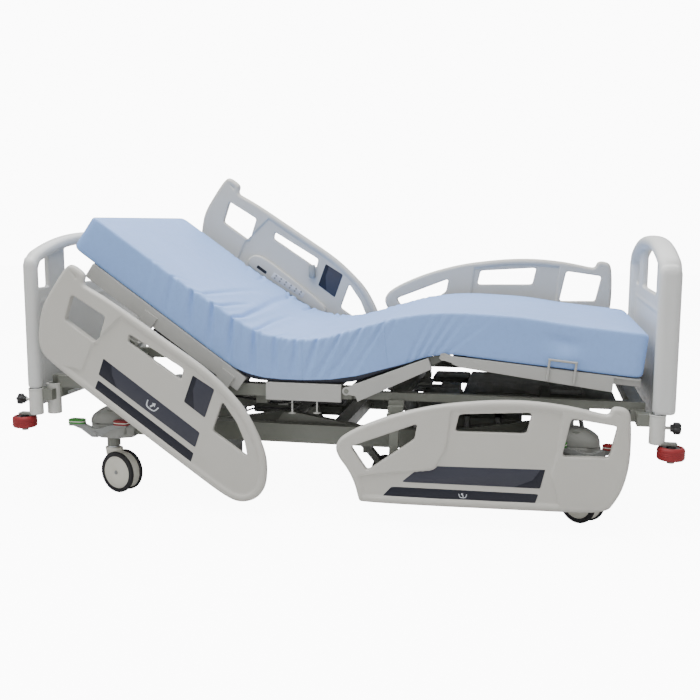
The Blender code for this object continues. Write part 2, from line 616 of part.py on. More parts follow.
def thigh_section(b):
    length = math.hypot(CALF_PIVOT[0] - THIGH_PIVOT[0], CALF_PIVOT[1] - THIGH_PIVOT[1])
    solids = [deck(0.0228, 0.300, 0.008, 0.0072, 0.0125)]
    cuts = []
    flange = [(0.0238, 0.0115), (0.300, 0.0115), (0.298, -0.026), (0.0238, -0.046)]
    knee = [(0.215, 0.0100), (0.290, 0.0110), (length + 0.010, 0.0100), (length + 0.014, 0.0),
            (length + 0.006, -0.014), (length - 0.008, -0.013),
            (0.250, -0.026), (0.215, -0.030)]
    for side in (-1, 1):
        solids.append(extruded(flange, *both(side, 0.4085, DECK_Y), "y"))
        solids.append(extruded(knee, *both(side, 0.3955, 0.4078), "y"))
        solids.append(box(0.215, 0.280, *both(side, 0.4000, 0.4120), -0.0100, 0.0090))
        solids.append(disc(length, 0.0, 0.0070, *both(side, 0.4000, 0.4215), "y", 14))
        solids.append(disc(0, 0, 0.0140, *both(side, 0.4087, DECK_Y - 0.0002), "y", 16))
        solids.append(extruded([(0.0, 0.0115), (0.030, 0.0110), (0.030, -0.030), (0.0, -0.0120)],
                               *both(side, 0.4089, DECK_Y - 0.0004), "y"))
        cuts.append(disc(0, 0, 0.0084, *both(side, 0.40, 0.43), "y", 14))
    solids.append(box(0.035, 0.060, -0.350, 0.350, -0.0060, 0.0090))
    solids.append(box(0.255, 0.285, -0.350, 0.350, -0.0060, 0.0090))
    lean = math.radians(-17.5)
    y0 = 0.120

    def point(r, w):
        return (r * math.sin(lean) + w * math.cos(lean), -r * math.cos(lean) + w * math.sin(lean))

    def plate(near, far, width):
        return [point(near, -width), point(far, -width), point(far, width), point(near, width)]

    pad = plate(0.040, 0.094, 0.0190)
    slot = plate(0.066, 0.086, 0.0085)
    lug = [(0.030, 0.0090), (0.060, 0.0090), (0.055, -0.0060), (0.012, -0.060), (-0.020, -0.052),
           (0.012, -0.030)]
    for half in (-1, 1):
        solids.append(extruded(lug, y0 + half * 0.021 - 0.004, y0 + half * 0.021 + 0.004, "y"))
        solids.append(extruded(pad, y0 + half * 0.021 - 0.0045, y0 + half * 0.021 + 0.0045, "y"))
    cuts.append(extruded(slot, y0 - 0.04, y0 + 0.04, "y"))
    b.node("thigh_section", "deck_paint", solids, cuts, (THIGH_PIVOT[0], 0, THIGH_PIVOT[1]),
           frame=turned(THIGH_PIVOT, THIGH_ANGLE))


def calf_section(b):
    solids = [deck(0.0300, 0.6300, 0.012, -0.0002, 0.0050)]
    flange = [(0.0310, 0.0040), (0.5450, 0.0040), (0.5450, -0.0460),
              (0.0600, -0.0280), (0.0310, -0.0200)]
    tail = [(0.5400, 0.0040), (0.6290, 0.0040), (0.6290, -0.0200), (0.5400, -0.0215)]
    cuts = []
    for side in (-1, 1):
        solids.append(extruded(flange, *both(side, 0.4085, DECK_Y), "y"))
        solids.append(extruded(tail, *both(side, 0.3980, 0.4060), "y"))
        lug = [(-0.012, -0.006), (-0.004, -0.0125), (0.006, -0.0125), (0.050, -0.020), (0.050, 0.004),
               (0.030, 0.0045), (0.004, 0.0125), (-0.008, 0.0095)]
        solids.append(extruded(lug, *both(side, 0.4085, DECK_Y), "y"))
        cuts.append(disc(0, 0, 0.0074, *both(side, 0.40, 0.43), "y", 14))
    for s in (0.060, 0.530):
        solids.append(box(s, s + 0.030, -0.350, 0.350, -0.0130, 0.0020))
    wire, wire_y = 0.0040, 0.4262
    for side in (-1, 1):
        y = side * wire_y
        for x in (0.340, 0.424):
            solids.append(disc(x, y, wire, -0.034, 0.034, "z", 10))
            solids.append(disc(x, -0.030, wire, *both(side, 0.415, wire_y + wire * 0.6), "y", 10))
        solids.append(disc(y, 0.034, wire, 0.336, 0.428, "x", 10))
    b.node("calf_section", "deck_paint", solids, cuts, (CALF_PIVOT[0], 0, CALF_PIVOT[1]),
           frame=turned(CALF_PIVOT, CALF_ANGLE))


def mattress(b):
    """Four foam blocks in one cover, with facing ends cut back so that they never meet as the bed folds."""
    t = MATTRESS_T
    gap = 0.0008
    back = [(0.4900, 0.2000 + gap), (1.2590, 0.2000 + gap), (1.2590, 0.2000 + t), (0.5850, 0.2000 + t)]
    solid = extruded([(-s, n) for s, n in back], -MATTRESS_Y, MATTRESS_Y, "y")
    b.node("mattress_back", "mattress_cover", [solid], (), (BACK_PIVOT[0], 0, BACK_PIVOT[1]), 0.012,
           frame=back_frame())
    seat = [(-0.215, 0.4360 + gap), (0.045, 0.4360 + gap), (-0.010, 0.4360 + t), (-0.140, 0.4360 + t)]
    b.node("mattress_seat", "mattress_cover", [extruded(seat, -MATTRESS_Y, MATTRESS_Y, "y")], (),
           (0, 0, 0.436), 0.012)
    thigh = [(0.0250, 0.0125 + gap), (0.3050, 0.0125 + gap), (0.2900, 0.0125 + t), (0.0800, 0.0125 + t)]
    solid = extruded(thigh, -MATTRESS_Y, MATTRESS_Y, "y")
    b.node("mattress_thigh", "mattress_cover", [solid], (), (THIGH_PIVOT[0], 0, THIGH_PIVOT[1]), 0.012,
           frame=turned(THIGH_PIVOT, THIGH_ANGLE))
    calf = [(0.0320, 0.0050 + gap), (0.6480, 0.0050 + gap), (0.6480, 0.0050 + t), (0.0320, 0.0050 + t)]
    solid = extruded(calf, -0.4210, 0.4210, "y")
    b.node("mattress_calf", "mattress_cover", [solid], (), (CALF_PIVOT[0], 0, CALF_PIVOT[1]), 0.012,
           frame=turned(CALF_PIVOT, CALF_ANGLE))


# Side rails

HEAD_OUTLINE = [
    (0.999, 0.298), (0.999, 0.190), (0.993, 0.142), (0.976, 0.099), (0.946, 0.043), (0.908, 0.010),
    (0.848, 0.003), (0.708, 0.000), (0.220, 0.000), (0.082, 0.003), (0.034, 0.022), (0.002, 0.065),
    (0.000, 0.117), (0.029, 0.172), (0.068, 0.217), (0.136, 0.261), (0.217, 0.301), (0.296, 0.317),
    (0.371, 0.327), (0.440, 0.329), (0.540, 0.325), (0.674, 0.321), (0.806, 0.316), (0.875, 0.311),
    (0.907, 0.307), (0.926, 0.320), (0.976, 0.333), (0.990, 0.324),
]
HEAD_WINDOWS = [
    [(0.927, 0.252), (0.784, 0.262), (0.756, 0.164), (0.900, 0.163)],
    [(0.684, 0.262), (0.461, 0.279), (0.446, 0.243), (0.673, 0.236)],
    [(0.288, 0.271), (0.260, 0.165), (0.113, 0.168), (0.150, 0.205), (0.205, 0.240)],
]
FOOT_OUTLINE = [
    (0.000, 0.182), (0.011, 0.210), (0.035, 0.232), (0.088, 0.262), (0.189, 0.304), (0.322, 0.341),
    (0.451, 0.359), (0.547, 0.367), (0.642, 0.367), (0.735, 0.358), (0.798, 0.348), (0.859, 0.335),
    (0.877, 0.345), (0.892, 0.355), (0.920, 0.347), (0.936, 0.322), (0.942, 0.251), (0.940, 0.173),
    (0.924, 0.100), (0.901, 0.053), (0.873, 0.015),
    (0.684, 0.009), (0.086, 0.000), (0.080, 0.013), (0.066, 0.068), (0.041, 0.116), (0.014, 0.148),
]
FOOT_WINDOWS = [
    [(0.408, 0.314), (0.636, 0.329), (0.621, 0.261), (0.396, 0.257)],
    [(0.758, 0.317), (0.898, 0.298), (0.876, 0.196), (0.733, 0.194)],
    [(0.054, 0.191), (0.275, 0.278), (0.265, 0.226), (0.109, 0.112)],
]


def rail(b, which, side_name):
    """A moulded rail: its shell, the lugs for its two arms and, on a head rail, the raised keypad pod."""
    side = SIDES[side_name]
    head = which == "head"
    outline, windows = (HEAD_OUTLINE, HEAD_WINDOWS) if head else (FOOT_OUTLINE, FOOT_WINDOWS)
    datum, arms = (HEAD_DATUM, HEAD_ARMS) if head else (FOOT_DATUM, FOOT_ARMS)
    solids = [extruded(outline, *both(side, *RAIL_Y), "y", windows)]
    cuts = []
    arm_v = (ARM_HEAD_N if head else ARM_FOOT_Z) - RAIL_RISE / 2 - datum[1]
    for index, u in enumerate(arms):
        v = arm_v - ARM_STEP * index
        for half in (-1, 1):
            ear = sorted((u + half * 0.0155, u + half * 0.026))
            solids.append(box(*ear, *both(side, 0.4615, 0.4850), v - 0.0095, v + 0.0095))
        cuts.append(disc(side * 0.470, v, 0.0058, u - 0.040, u + 0.040, "x", 8))
        cuts.append(box(u - 0.0165, u + 0.0165, *both(side, 0.4600, 0.4835), v - 0.0300, v + 0.0850))
    if head:
        pod = [(0.300, 0.112), (0.312, 0.094), (0.690, 0.072), (0.712, 0.090), (0.706, 0.124),
               (0.686, 0.138), (0.330, 0.134)]
        solids.append(extruded(pod, *both(side, 0.4690, 0.4850), "y"))
    lift = RAIL_RISE if side_name == "far" else 0.0
    shift = Matrix.Translation((datum[0], 0, datum[1] + lift))
    frame = back_frame() if head else Matrix.Identity(4)
    pin = Vector((arms[0] + datum[0], side * 0.470, arm_v + datum[1] + lift))
    solids = [moved(s, shift) for s in solids]
    cuts = [moved(c, shift) for c in cuts]
    if head:
        solids = [mirrored(s, "x") for s in solids]
        cuts = [mirrored(c, "x") for c in cuts]
        pin.x = -pin.x
    b.node(f"{which}_rail_{side_name}", "shell_plastic", solids, cuts, frame @ pin, frame=frame)


def rail_arm(b, which, side_name, index):
    """A flat arm with a barrel and pin at each end, swinging in the plane across the rail."""
    side = SIDES[side_name]
    head = which == "head"
    tilt = ARM_TILT if side_name == "far" else -ARM_TILT
    u = (HEAD_ARMS if head else FOOT_ARMS)[index] + (HEAD_DATUM if head else FOOT_DATUM)[0]
    v = (ARM_HEAD_N if head else ARM_FOOT_Z) - ARM_STEP * index
    a = (side * 0.440, v)
    c = (side * (0.440 + ARM_LEN * math.cos(tilt)), v + ARM_LEN * math.sin(tilt))
    along = (Vector(c) - Vector(a)).normalized()
    across = Vector((-along.y, along.x))
    half = 0.0035
    plate = [tuple(Vector(p) + across * w) for p, w in ((a, -half), (c, -half), (c, half), (a, half))]
    solids = [extruded(plate, u - 0.0150, u + 0.0150, "x")]
    for p in (a, c):
        solids.append(disc(p[0], p[1], 0.0080, u - 0.0150, u + 0.0150, "x", 12))
        solids.append(disc(p[0], p[1], 0.0050, u - 0.0250, u + 0.0250, "x", 8))
    frame = back_frame() if head else Matrix.Identity(4)
    if head:
        solids = [mirrored(s, "x") for s in solids]
    pivot = frame @ Vector((-u if head else u, *a))
    name = f"{which}_rail_{side_name}_{('upper', 'lower')[index]}_arm"
    b.node(name, "frame_paint", solids, (), pivot, frame=frame)


# Drives under the platform

def back_actuator(b):
    y, z = -0.060, BACK_PIVOT[1] - 0.162
    solids = [disc(y, z, 0.0165, -0.700, -0.395, "x", 16)]
    motor = rounded(-0.725, -0.668, y - 0.030, y + 0.030, 0.010)
    solids.append(extruded(motor, z - 0.022, z + 0.024, "z"))
    solids.append(box(-0.655, -0.617, y - 0.012, y + 0.012, z, 0.3560 - GAP))
    cuts = [disc(y, z, 0.0112, -0.695, -0.390, "x", 16)]
    b.node("back_actuator_body", "drive_plastic", solids, cuts)
    rod = [disc(y, z, 0.0108, -0.548, BACK_PIVOT[0], "x", 14)]
    rod.append(disc(BACK_PIVOT[0], z, 0.0125, y - 0.012, y + 0.012, "y", 14))
    rod.append(disc(BACK_PIVOT[0], z, 0.0060, y - 0.027, y + 0.027, "y", 16))
    b.node("back_actuator_rod", "steel", rod, (), (BACK_PIVOT[0], y, z))


def knee_actuator(b):
    y, z = 0.120, THIGH_PIVOT[1] - 0.075
    pin_x = THIGH_PIVOT[0] + 0.075 * math.tan(math.radians(4.1))
    solids = [disc(y, z, 0.0165, 0.120, 0.400, "x", 16)]
    motor = rounded(0.330, 0.405, y - 0.030, y + 0.030, 0.010)
    solids.append(extruded(motor, z - 0.024, z + 0.022, "z"))
    solids.append(box(JACK_X - 0.016, JACK_X + 0.016, y - 0.012, y + 0.012, z, 0.3850 - GAP))
    cuts = [disc(y, z, 0.0112, 0.110, 0.395, "x", 16)]
    b.node("knee_actuator_body", "drive_plastic", solids, cuts)
    rod = [disc(y, z, 0.0108, pin_x, 0.300, "x", 14)]
    rod.append(disc(pin_x, z, 0.0125, y - 0.012, y + 0.012, "y", 14))
    rod.append(disc(pin_x, z, 0.0060, y - 0.027, y + 0.027, "y", 16))
    b.node("knee_actuator_rod", "steel", rod, (), (pin_x, y, z))


def main():
    clear_scene()
    b = Builder()
    base_frame(b)
    for end_name in ("head", "foot"):
        for side_name in SIDES:
            corner_cover(b, end_name, side_name)
            castor(b, end_name, side_name)
        brake_treadle(b, end_name)
    fifth_wheel(b)
    lift_arm(b, "head_lift_arm", LIFT_PIVOT[0], True)
    lift_arm(b, "foot_lift_arm", FOOT_LIFT_X, False)
    head_yoke(b)
    jack(b)
    lift_actuator(b)
    upper_frame(b)
    bumpers_and_knobs(b)
    control_box(b)
    board(b, "headboard", -1)
    board(b, "footboard", 1)
    back_section(b)
    seat_section(b)
    thigh_section(b)
    calf_section(b)
    mattress(b)
    for which in ("head", "foot"):
        for side_name in SIDES:
            rail(b, which, side_name)
            for index in (0, 1):
                rail_arm(b, which, side_name, index)
    back_actuator(b)
    knee_actuator(b)


main()
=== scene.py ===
"""Looks of the adjustable hospital bed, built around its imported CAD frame.

Metres, +Z up, the same frame as the CAD: X runs along the bed with the head at -X, and the near side
is at -Y.
"""

import math

import bmesh
import bpy
import numpy as np
from mathutils import Matrix, Vector


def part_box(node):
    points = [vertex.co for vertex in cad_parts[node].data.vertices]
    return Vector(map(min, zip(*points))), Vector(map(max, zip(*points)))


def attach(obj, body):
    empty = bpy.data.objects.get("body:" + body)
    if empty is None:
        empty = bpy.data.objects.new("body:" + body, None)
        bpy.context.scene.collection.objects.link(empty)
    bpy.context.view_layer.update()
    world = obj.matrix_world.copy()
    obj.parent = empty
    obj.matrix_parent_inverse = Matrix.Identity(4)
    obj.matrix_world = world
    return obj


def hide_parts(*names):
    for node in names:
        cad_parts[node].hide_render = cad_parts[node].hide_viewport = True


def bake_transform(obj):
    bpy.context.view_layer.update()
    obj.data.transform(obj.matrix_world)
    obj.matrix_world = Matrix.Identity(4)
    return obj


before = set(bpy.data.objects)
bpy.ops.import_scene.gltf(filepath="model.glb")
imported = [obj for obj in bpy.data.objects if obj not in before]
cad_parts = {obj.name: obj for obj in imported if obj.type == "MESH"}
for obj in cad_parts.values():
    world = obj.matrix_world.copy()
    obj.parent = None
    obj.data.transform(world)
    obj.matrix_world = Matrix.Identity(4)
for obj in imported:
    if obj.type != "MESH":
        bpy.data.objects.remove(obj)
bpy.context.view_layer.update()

SIDES = {"near": -1, "far": 1}
ENDS = {"head": -1, "foot": 1}
BACK_TILT = Matrix.Rotation(math.radians(35.0), 4, "Y")
RAIL_RISE = 0.4076
RAIL_INNER, RAIL_OUTER = 0.4815, 0.512
POST_X, POST_Y = 1.062, 0.452           # the end boards' columns, pegs and sockets
CASTOR_X, CASTOR_Y = 0.82, 0.345       # the castors' swivel axes
CASTOR_RADIUS, CASTOR_TRAIL = 0.075, 0.035
BUMPER_X, BUMPER_Y = 1.105, 0.46
KNOB_X, KNOB_Z = 1.1, 0.346
PEDAL_Y = 0.3992
ACCESSORY_X, ACCESSORY_Y = -1.018, -0.403
CASTOR_TURN = {"head_near": -18, "foot_near": -42, "head_far": 25, "foot_far": 12}


# Materials

def srgb(r, g, b):
    """A screen colour, 0 to 255, as linear light."""
    return tuple(((c / 255 + 0.055) / 1.055) ** 2.4 if c > 10 else c / 255 / 12.92 for c in (r, g, b))


class Nodes:
    """A short way to write a material's node tree."""

    def __init__(self, name, material=None):
        self.material = material or bpy.data.materials.new(name)
        self.material.use_nodes = True
        self.tree = self.material.node_tree
        self.shader = self.tree.nodes["Principled BSDF"]
        self.place = self.add("ShaderNodeTexCoord").outputs["Object"]

    def add(self, kind, inputs=None, **values):
        node = self.tree.nodes.new(kind)
        for key, value in values.items():
            setattr(node, key, value)
        for key, value in (inputs or {}).items():
            self.put(node.inputs[key], value)
        return node

    def put(self, socket, value):
        if isinstance(value, bpy.types.NodeSocket):
            self.tree.links.new(value, socket)
        else:
            socket.default_value = value

    def noise(self, scale, detail=3.0, rough=0.6):
        node = self.add("ShaderNodeTexNoise",
                        {"Vector": self.place, "Scale": scale, "Detail": detail, "Roughness": rough})
        return node.outputs["Fac"]

    def ramp(self, value, low, high, out_low=0.0, out_high=1.0):
        inputs = {"Value": value, "From Min": low, "From Max": high, "To Min": out_low, "To Max": out_high}
        return self.add("ShaderNodeMapRange", inputs).outputs["Result"]

    def mix(self, amount, a, b):
        node = self.add("ShaderNodeMix", data_type="RGBA")
        self.put(node.inputs["Factor"], amount)
        self.put(node.inputs["A"], a)
        self.put(node.inputs["B"], b)
        return node.outputs["Result"]

    def calc(self, operation, a, b=0.0):
        return self.add("ShaderNodeMath", {0: a, 1: b}, operation=operation).outputs[0]

    def times(self, a, b):
        return self.calc("MULTIPLY", a, b)

    def bump(self, height, strength, distance=0.001, under=None):
        inputs = {"Height": height, "Strength": strength, "Distance": distance}
        if under is not None:
            inputs["Normal"] = under
        return self.add("ShaderNodeBump", inputs).outputs["Normal"]

    def edge(self, radius):
        """(softened normal, how near a sharp edge the point is)."""
        soft = self.add("ShaderNodeBevel", {"Radius": radius}, samples=4).outputs["Normal"]
        flat = self.add("ShaderNodeNewGeometry").outputs["Normal"]
        dot = self.add("ShaderNodeVectorMath", {0: soft, 1: flat}, operation="DOT_PRODUCT").outputs["Value"]
        return soft, self.ramp(dot, 0.97, 0.8)


def tinted(color, factor):
    return tuple(min(1.0, c * factor) for c in color) + (1.0,)


def surface(name, color, rough, metal=0.0, grain=700.0, bump=0.1, vary=0.05, wear=None, soft=None,
            coat=0.0):
    """A moulded, painted or plated surface: slow colour variation, uneven gloss, grain and worn edges."""
    n = Nodes(name)
    base = n.mix(n.ramp(n.noise(5.0, 5.0), 0.3, 0.7), tinted(color, 1 - vary), tinted(color, 1 + vary))
    speck = n.ramp(n.noise(160.0, 2.0), 0.6, 0.72, 0.0, 0.25)
    base = n.mix(speck, base, tinted(color, 1 - 2.2 * vary))
    under = None
    if soft:
        under, near_edge = n.edge(soft)
        if wear:
            patchy = n.times(near_edge, n.ramp(n.noise(45.0, 4.0), 0.42, 0.62, 0.0, 0.85))
            base = n.mix(patchy, base, (*wear, 1.0))
    n.put(n.shader.inputs["Base Color"], base)
    n.put(n.shader.inputs["Roughness"], n.ramp(n.noise(18.0, 5.0), 0.25, 0.75, rough - 0.07, rough + 0.09))
    n.put(n.shader.inputs["Metallic"], metal)
    n.put(n.shader.inputs["Coat Weight"], coat)
    n.put(n.shader.inputs["Normal"], n.bump(n.noise(grain, 2.0), bump, 0.0004, under))
    return n.material


def fabric(name, color, rough=0.52, dark=0.86, skirt=None):
    """Coated mattress cloth: a fine two-way weave under a thin coat, soft crumple and broad tone changes."""
    n = Nodes(name)
    base = n.mix(n.ramp(n.noise(3.5, 4.0), 0.3, 0.7), tinted(color, 0.965), tinted(color, 1.035))
    base = n.mix(n.ramp(n.noise(60.0, 3.0), 0.45, 0.75, 0.0, 0.35), base, tinted(color, dark))
    if skirt:
        height = n.add("ShaderNodeAttribute", attribute_name="above_skirt").outputs["Fac"]
        base = n.mix(n.ramp(height, -0.001, 0.001), tinted(skirt, 1.0), base)
    weave = []
    for axis in ("X", "Y", "Z"):
        wave = n.add("ShaderNodeTexWave",
                     {"Vector": n.place, "Scale": 260.0, "Distortion": 0.4, "Detail": 1.0})
        wave.bands_direction = axis
        weave.append(wave.outputs["Fac"])
    threads = n.times(n.times(weave[0], weave[1]), weave[2])
    n.put(n.shader.inputs["Base Color"], base)
    n.put(n.shader.inputs["Roughness"], n.ramp(n.noise(25.0, 4.0), 0.3, 0.7, rough - 0.06, rough + 0.08))
    n.put(n.shader.inputs["Sheen Weight"], 0.1)
    n.put(n.shader.inputs["Sheen Roughness"], 0.4)
    crumple = n.bump(n.noise(34.0, 5.0), 0.16, 0.004)
    n.put(n.shader.inputs["Normal"], n.bump(threads, 0.2, 0.0003, crumple))
    return n.material


RAIL_GREY = srgb(190, 188, 181)
M = {
    "rail": surface("rail_plastic", RAIL_GREY, 0.42, grain=900.0, bump=0.1, vary=0.02),
    "board": surface("board_plastic", srgb(208, 209, 207), 0.4, grain=900.0, bump=0.1, vary=0.02),
    "frame": surface("frame_paint", srgb(118, 120, 112), 0.42, grain=260.0, vary=0.05, soft=0.002,
                     wear=srgb(176, 176, 170)),
    "deck": surface("deck_paint", srgb(172, 172, 168), 0.44, grain=260.0, vary=0.03, soft=0.002,
                    wear=srgb(205, 205, 200)),
    "post": surface("post_paint", srgb(205, 205, 200), 0.4, grain=300.0, vary=0.02, soft=0.0015),
    "drive": surface("drive_plastic", srgb(140, 142, 140), 0.5, vary=0.04, soft=0.002,
                     wear=srgb(170, 170, 168)),
    "cover": surface("cover_plastic", srgb(150, 151, 146), 0.36, vary=0.03, soft=0.0015),
    "cream": surface("castor_plastic", srgb(214, 212, 200), 0.42, vary=0.02),
    "tyre": surface("tyre_rubber", srgb(30, 30, 32), 0.72, grain=420.0, bump=0.35, vary=0.12),
    "steel": surface("steel", srgb(198, 200, 202), 0.24, metal=1.0, grain=500.0, bump=0.05, vary=0.04),
    "zinc": surface("zinc_wire", srgb(176, 176, 172), 0.36, metal=0.7, grain=500.0, bump=0.06, vary=0.05),
    "dark": surface("dark_housing", srgb(84, 86, 79), 0.5, vary=0.06, soft=0.002, wear=srgb(96, 98, 92)),
    "black": surface("black_plastic", srgb(26, 26, 28), 0.42, vary=0.1, soft=0.001),
    "navy": surface("navy_panel", srgb(1, 5, 26), 0.46, grain=300.0, bump=0.03, vary=0.06),
    "slate": surface("slate_panel", srgb(46, 48, 60), 0.46, grain=300.0, bump=0.03, vary=0.04),
    "mark": surface("panel_marks", srgb(196, 200, 206), 0.4, vary=0.02),
    "keys": surface("keypad", srgb(196, 198, 204), 0.4, vary=0.02),
    "red": surface("red_rubber", srgb(138, 26, 30), 0.55, grain=420.0, bump=0.25, vary=0.08),
    "pedal_red": surface("pedal_red", srgb(128, 14, 18), 0.45, grain=420.0, bump=0.2, vary=0.06),
    "pedal_green": surface("pedal_green", srgb(52, 128, 44), 0.45, grain=420.0, bump=0.2, vary=0.06),
    "mattress": fabric("mattress_cover", srgb(139, 174, 231), skirt=srgb(10, 18, 40)),
    "underside": fabric("mattress_underside", srgb(10, 18, 40), 0.6, 0.8),
    "cable": surface("cable_jacket", srgb(38, 38, 40), 0.5, vary=0.08),
}


# The CAD's material slot that each finish belongs to
SLOTS = {
    "rail": "shell_plastic", "board": "board_plastic", "post": "frame_paint", "drive": "drive_plastic",
    "cover": "shell_plastic", "cream": "shell_plastic", "keys": "shell_plastic", "tyre": "tyre_rubber",
    "steel": "steel", "zinc": "steel", "dark": "drive_plastic", "black": "dark_plastic",
    "navy": "dark_plastic",
    "slate": "dark_plastic", "mark": "dark_plastic", "red": "bumper_rubber", "pedal_red": "pedal_paint",
    "pedal_green": "pedal_paint", "cable": "dark_plastic",
}


# Mesh helpers

def make_mesh(name, bm):
    mesh = bpy.data.meshes.new(name)
    bm.to_mesh(mesh)
    bm.free()
    return mesh


def add_piece(name, mesh, finish, body=None, replaces=(), slot=None, sharp=35.0):
    """Links one piece, with its finish, its body and the CAD nodes that it stands for."""
    obj = bpy.data.objects.new(name, mesh)
    bpy.context.scene.collection.objects.link(obj)
    mesh.materials.clear()
    for each in [finish] if isinstance(finish, str) else finish:
        mesh.materials.append(M[each])
    mesh.shade_smooth()
    if sharp:
        mesh.set_sharp_from_angle(angle=math.radians(sharp))
    if body:
        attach(obj, body)
    if replaces:
        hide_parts(*replaces)
    slot = SLOTS[finish] if slot is None else slot
    return obj


def applied(obj):
    """The object's mesh with its modifiers applied; the object is removed."""
    graph = bpy.context.evaluated_depsgraph_get()
    mesh = bpy.data.meshes.new_from_object(obj.evaluated_get(graph), depsgraph=graph)
    bpy.data.objects.remove(obj)
    return mesh


def placed(mesh, matrix):
    """The mesh moved by the matrix, with its faces kept pointing out where the matrix mirrors."""
    mesh.transform(matrix)
    if matrix.determinant() < 0:
        mesh.flip_normals()
    mesh.update()
    return mesh


def smoothed(points, rounds=3, closed=True):
    """Corner cutting: each round replaces a corner by two points a quarter of the way along its sides."""
    points = np.array(points, float)
    for _ in range(rounds):
        nxt = np.roll(points, -1, axis=0) if closed else points[1:]
        cur = points if closed else points[:-1]
        cut = np.stack([0.75 * cur + 0.25 * nxt, 0.25 * cur + 0.75 * nxt], axis=1).reshape(-1,
                                                                                           points.shape[1])
        points = cut if closed else np.vstack([points[:1], cut, points[-1:]])
    return points


def spaced(points, step, closed=True):
    """The same line with points a step apart."""
    points = np.array(points, float)
    ends = np.vstack([points, points[:1]]) if closed else points
    length = np.concatenate([[0], np.cumsum(np.linalg.norm(np.diff(ends, axis=0), axis=1))])
    count = max(8, int(length[-1] / step))
    at = np.linspace(0, length[-1], count + (0 if closed else 1), endpoint=not closed)
    return np.stack([np.interp(at, length, ends[:, k]) for k in range(ends.shape[1])], axis=1)


def area(loop):
    x, y = loop[:, 0], loop[:, 1]
    return 0.5 * float(np.sum(x * np.roll(y, -1) - np.roll(x, -1) * y))


def inward(loop):
    """Unit vectors that point into a closed loop."""
    along = np.roll(loop, -1, axis=0) - np.roll(loop, 1, axis=0)
    along /= np.linalg.norm(along, axis=1)[:, None]
    turn = 1.0 if area(loop) > 0 else -1.0
    return np.stack([-along[:, 1], along[:, 0]], axis=1) * turn


def slab(bm, loops, low, high, put):
    """A flat outline with holes, from low to high along the third axis of put(a, b, c)."""
    edges = []
    first = len(bm.verts)
    for loop in loops:
        verts = [bm.verts.new(put(a, b, low)) for a, b in loop]
        edges += [bm.edges.new((verts[i - 1], verts[i])) for i in range(len(verts))]
    made = bmesh.ops.triangle_fill(bm, edges=edges, use_beauty=True)
    faces = [g for g in made["geom"] if isinstance(g, bmesh.types.BMFace)]
    pushed = bmesh.ops.extrude_face_region(bm, geom=faces)
    tops = [g for g in pushed["geom"] if isinstance(g, bmesh.types.BMVert)]
    bmesh.ops.translate(bm, verts=tops, vec=Vector(put(0, 0, high)) - Vector(put(0, 0, low)))
    bm.verts.ensure_lookup_table()
    faces = {f for v in bm.verts[first:] for f in v.link_faces}
    bmesh.ops.recalc_face_normals(bm, faces=list(faces))


def ring_faces(bm, rings, closed=True, caps=False):
    """Joins rings of vertices into a skin."""
    pairs = list(zip(rings, rings[1:])) + ([(rings[-1], rings[0])] if closed else [])
    faces = []
    for a, b in pairs:
        for i in range(len(a)):
            j = (i + 1) % len(a)
            faces.append(bm.faces.new((a[i], a[j], b[j], b[i])))
    if caps:
        faces.append(bm.faces.new(rings[0][::-1]))
        faces.append(bm.faces.new(rings[-1]))
    bmesh.ops.recalc_face_normals(bm, faces=faces)


def rim(bm, loop, half_in, half_out, middle, put, count=14):
    """An oval tube just inside a closed loop; half_in is its half width in the plane, half_out across it."""
    toward = inward(loop)
    rings = []
    for point, n in zip(loop, toward):
        ring = []
        for k in range(count):
            t = 2 * math.pi * k / count
            p = point + n * half_in * (1 - math.cos(t))
            ring.append(bm.verts.new(put(p[0], p[1], middle + half_out * math.sin(t))))
        rings.append(ring)
    ring_faces(bm, rings)


def remeshed(bm, name, voxel, smooth=6):
    """One clean skin around overlapping closed forms, with its creases softened."""
    obj = bpy.data.objects.new(name, make_mesh(name, bm))
    bpy.context.scene.collection.objects.link(obj)
    step = obj.modifiers.new("skin", "REMESH")
    step.mode = "VOXEL"
    step.voxel_size = voxel
    ease = obj.modifiers.new("ease", "SMOOTH")
    ease.factor = 0.5
    ease.iterations = smooth
    return applied(obj)


def lathe(profile, count=48):
    """A turned solid about Z from (radius, height); the ends lie on the axis, or the profile closes."""
    bm = bmesh.new()
    rings = []
    for r, z in profile:
        if r < 1e-6:
            rings.append([bm.verts.new((0, 0, z))])
        else:
            turns = [2 * math.pi * i / count for i in range(count)]
            rings.append([bm.verts.new((r * math.cos(t), r * math.sin(t), z)) for t in turns])
    pairs = list(zip(rings, rings[1:])) + ([(rings[-1], rings[0])] if profile[0][0] > 1e-6 else [])
    for a, b in pairs:
        for i in range(count):
            j = (i + 1) % count
            corners = [a[i % len(a)], a[j % len(a)], b[j % len(b)], b[i % len(b)]]
            corners = list(dict.fromkeys(corners))
            if len(corners) > 2:
                bm.faces.new(corners)
    bmesh.ops.recalc_face_normals(bm, faces=bm.faces[:])
    return bm


def turned(name, profile, count, place, finish, body, replaces=(), slot=None):
    """A piece turned from its profile and put in place."""
    return add_piece(name, placed(make_mesh(name, lathe(profile, count)), place), finish, body, replaces,
                     slot)


def rounded_profile(r0, r1, z0, z1, fillet, steps=4):
    """A ring's section from bore r0 to r1 with rounded outer corners."""
    points = [(r0, z0)]
    for cz, start in ((z0 + fillet, -90), (z1 - fillet, 0)):
        for i in range(steps + 1):
            t = math.radians(start + 90 * i / steps)
            points.append((r1 - fillet + fillet * math.cos(t), cz + fillet * math.sin(t)))
    return points + [(r0, z1)]


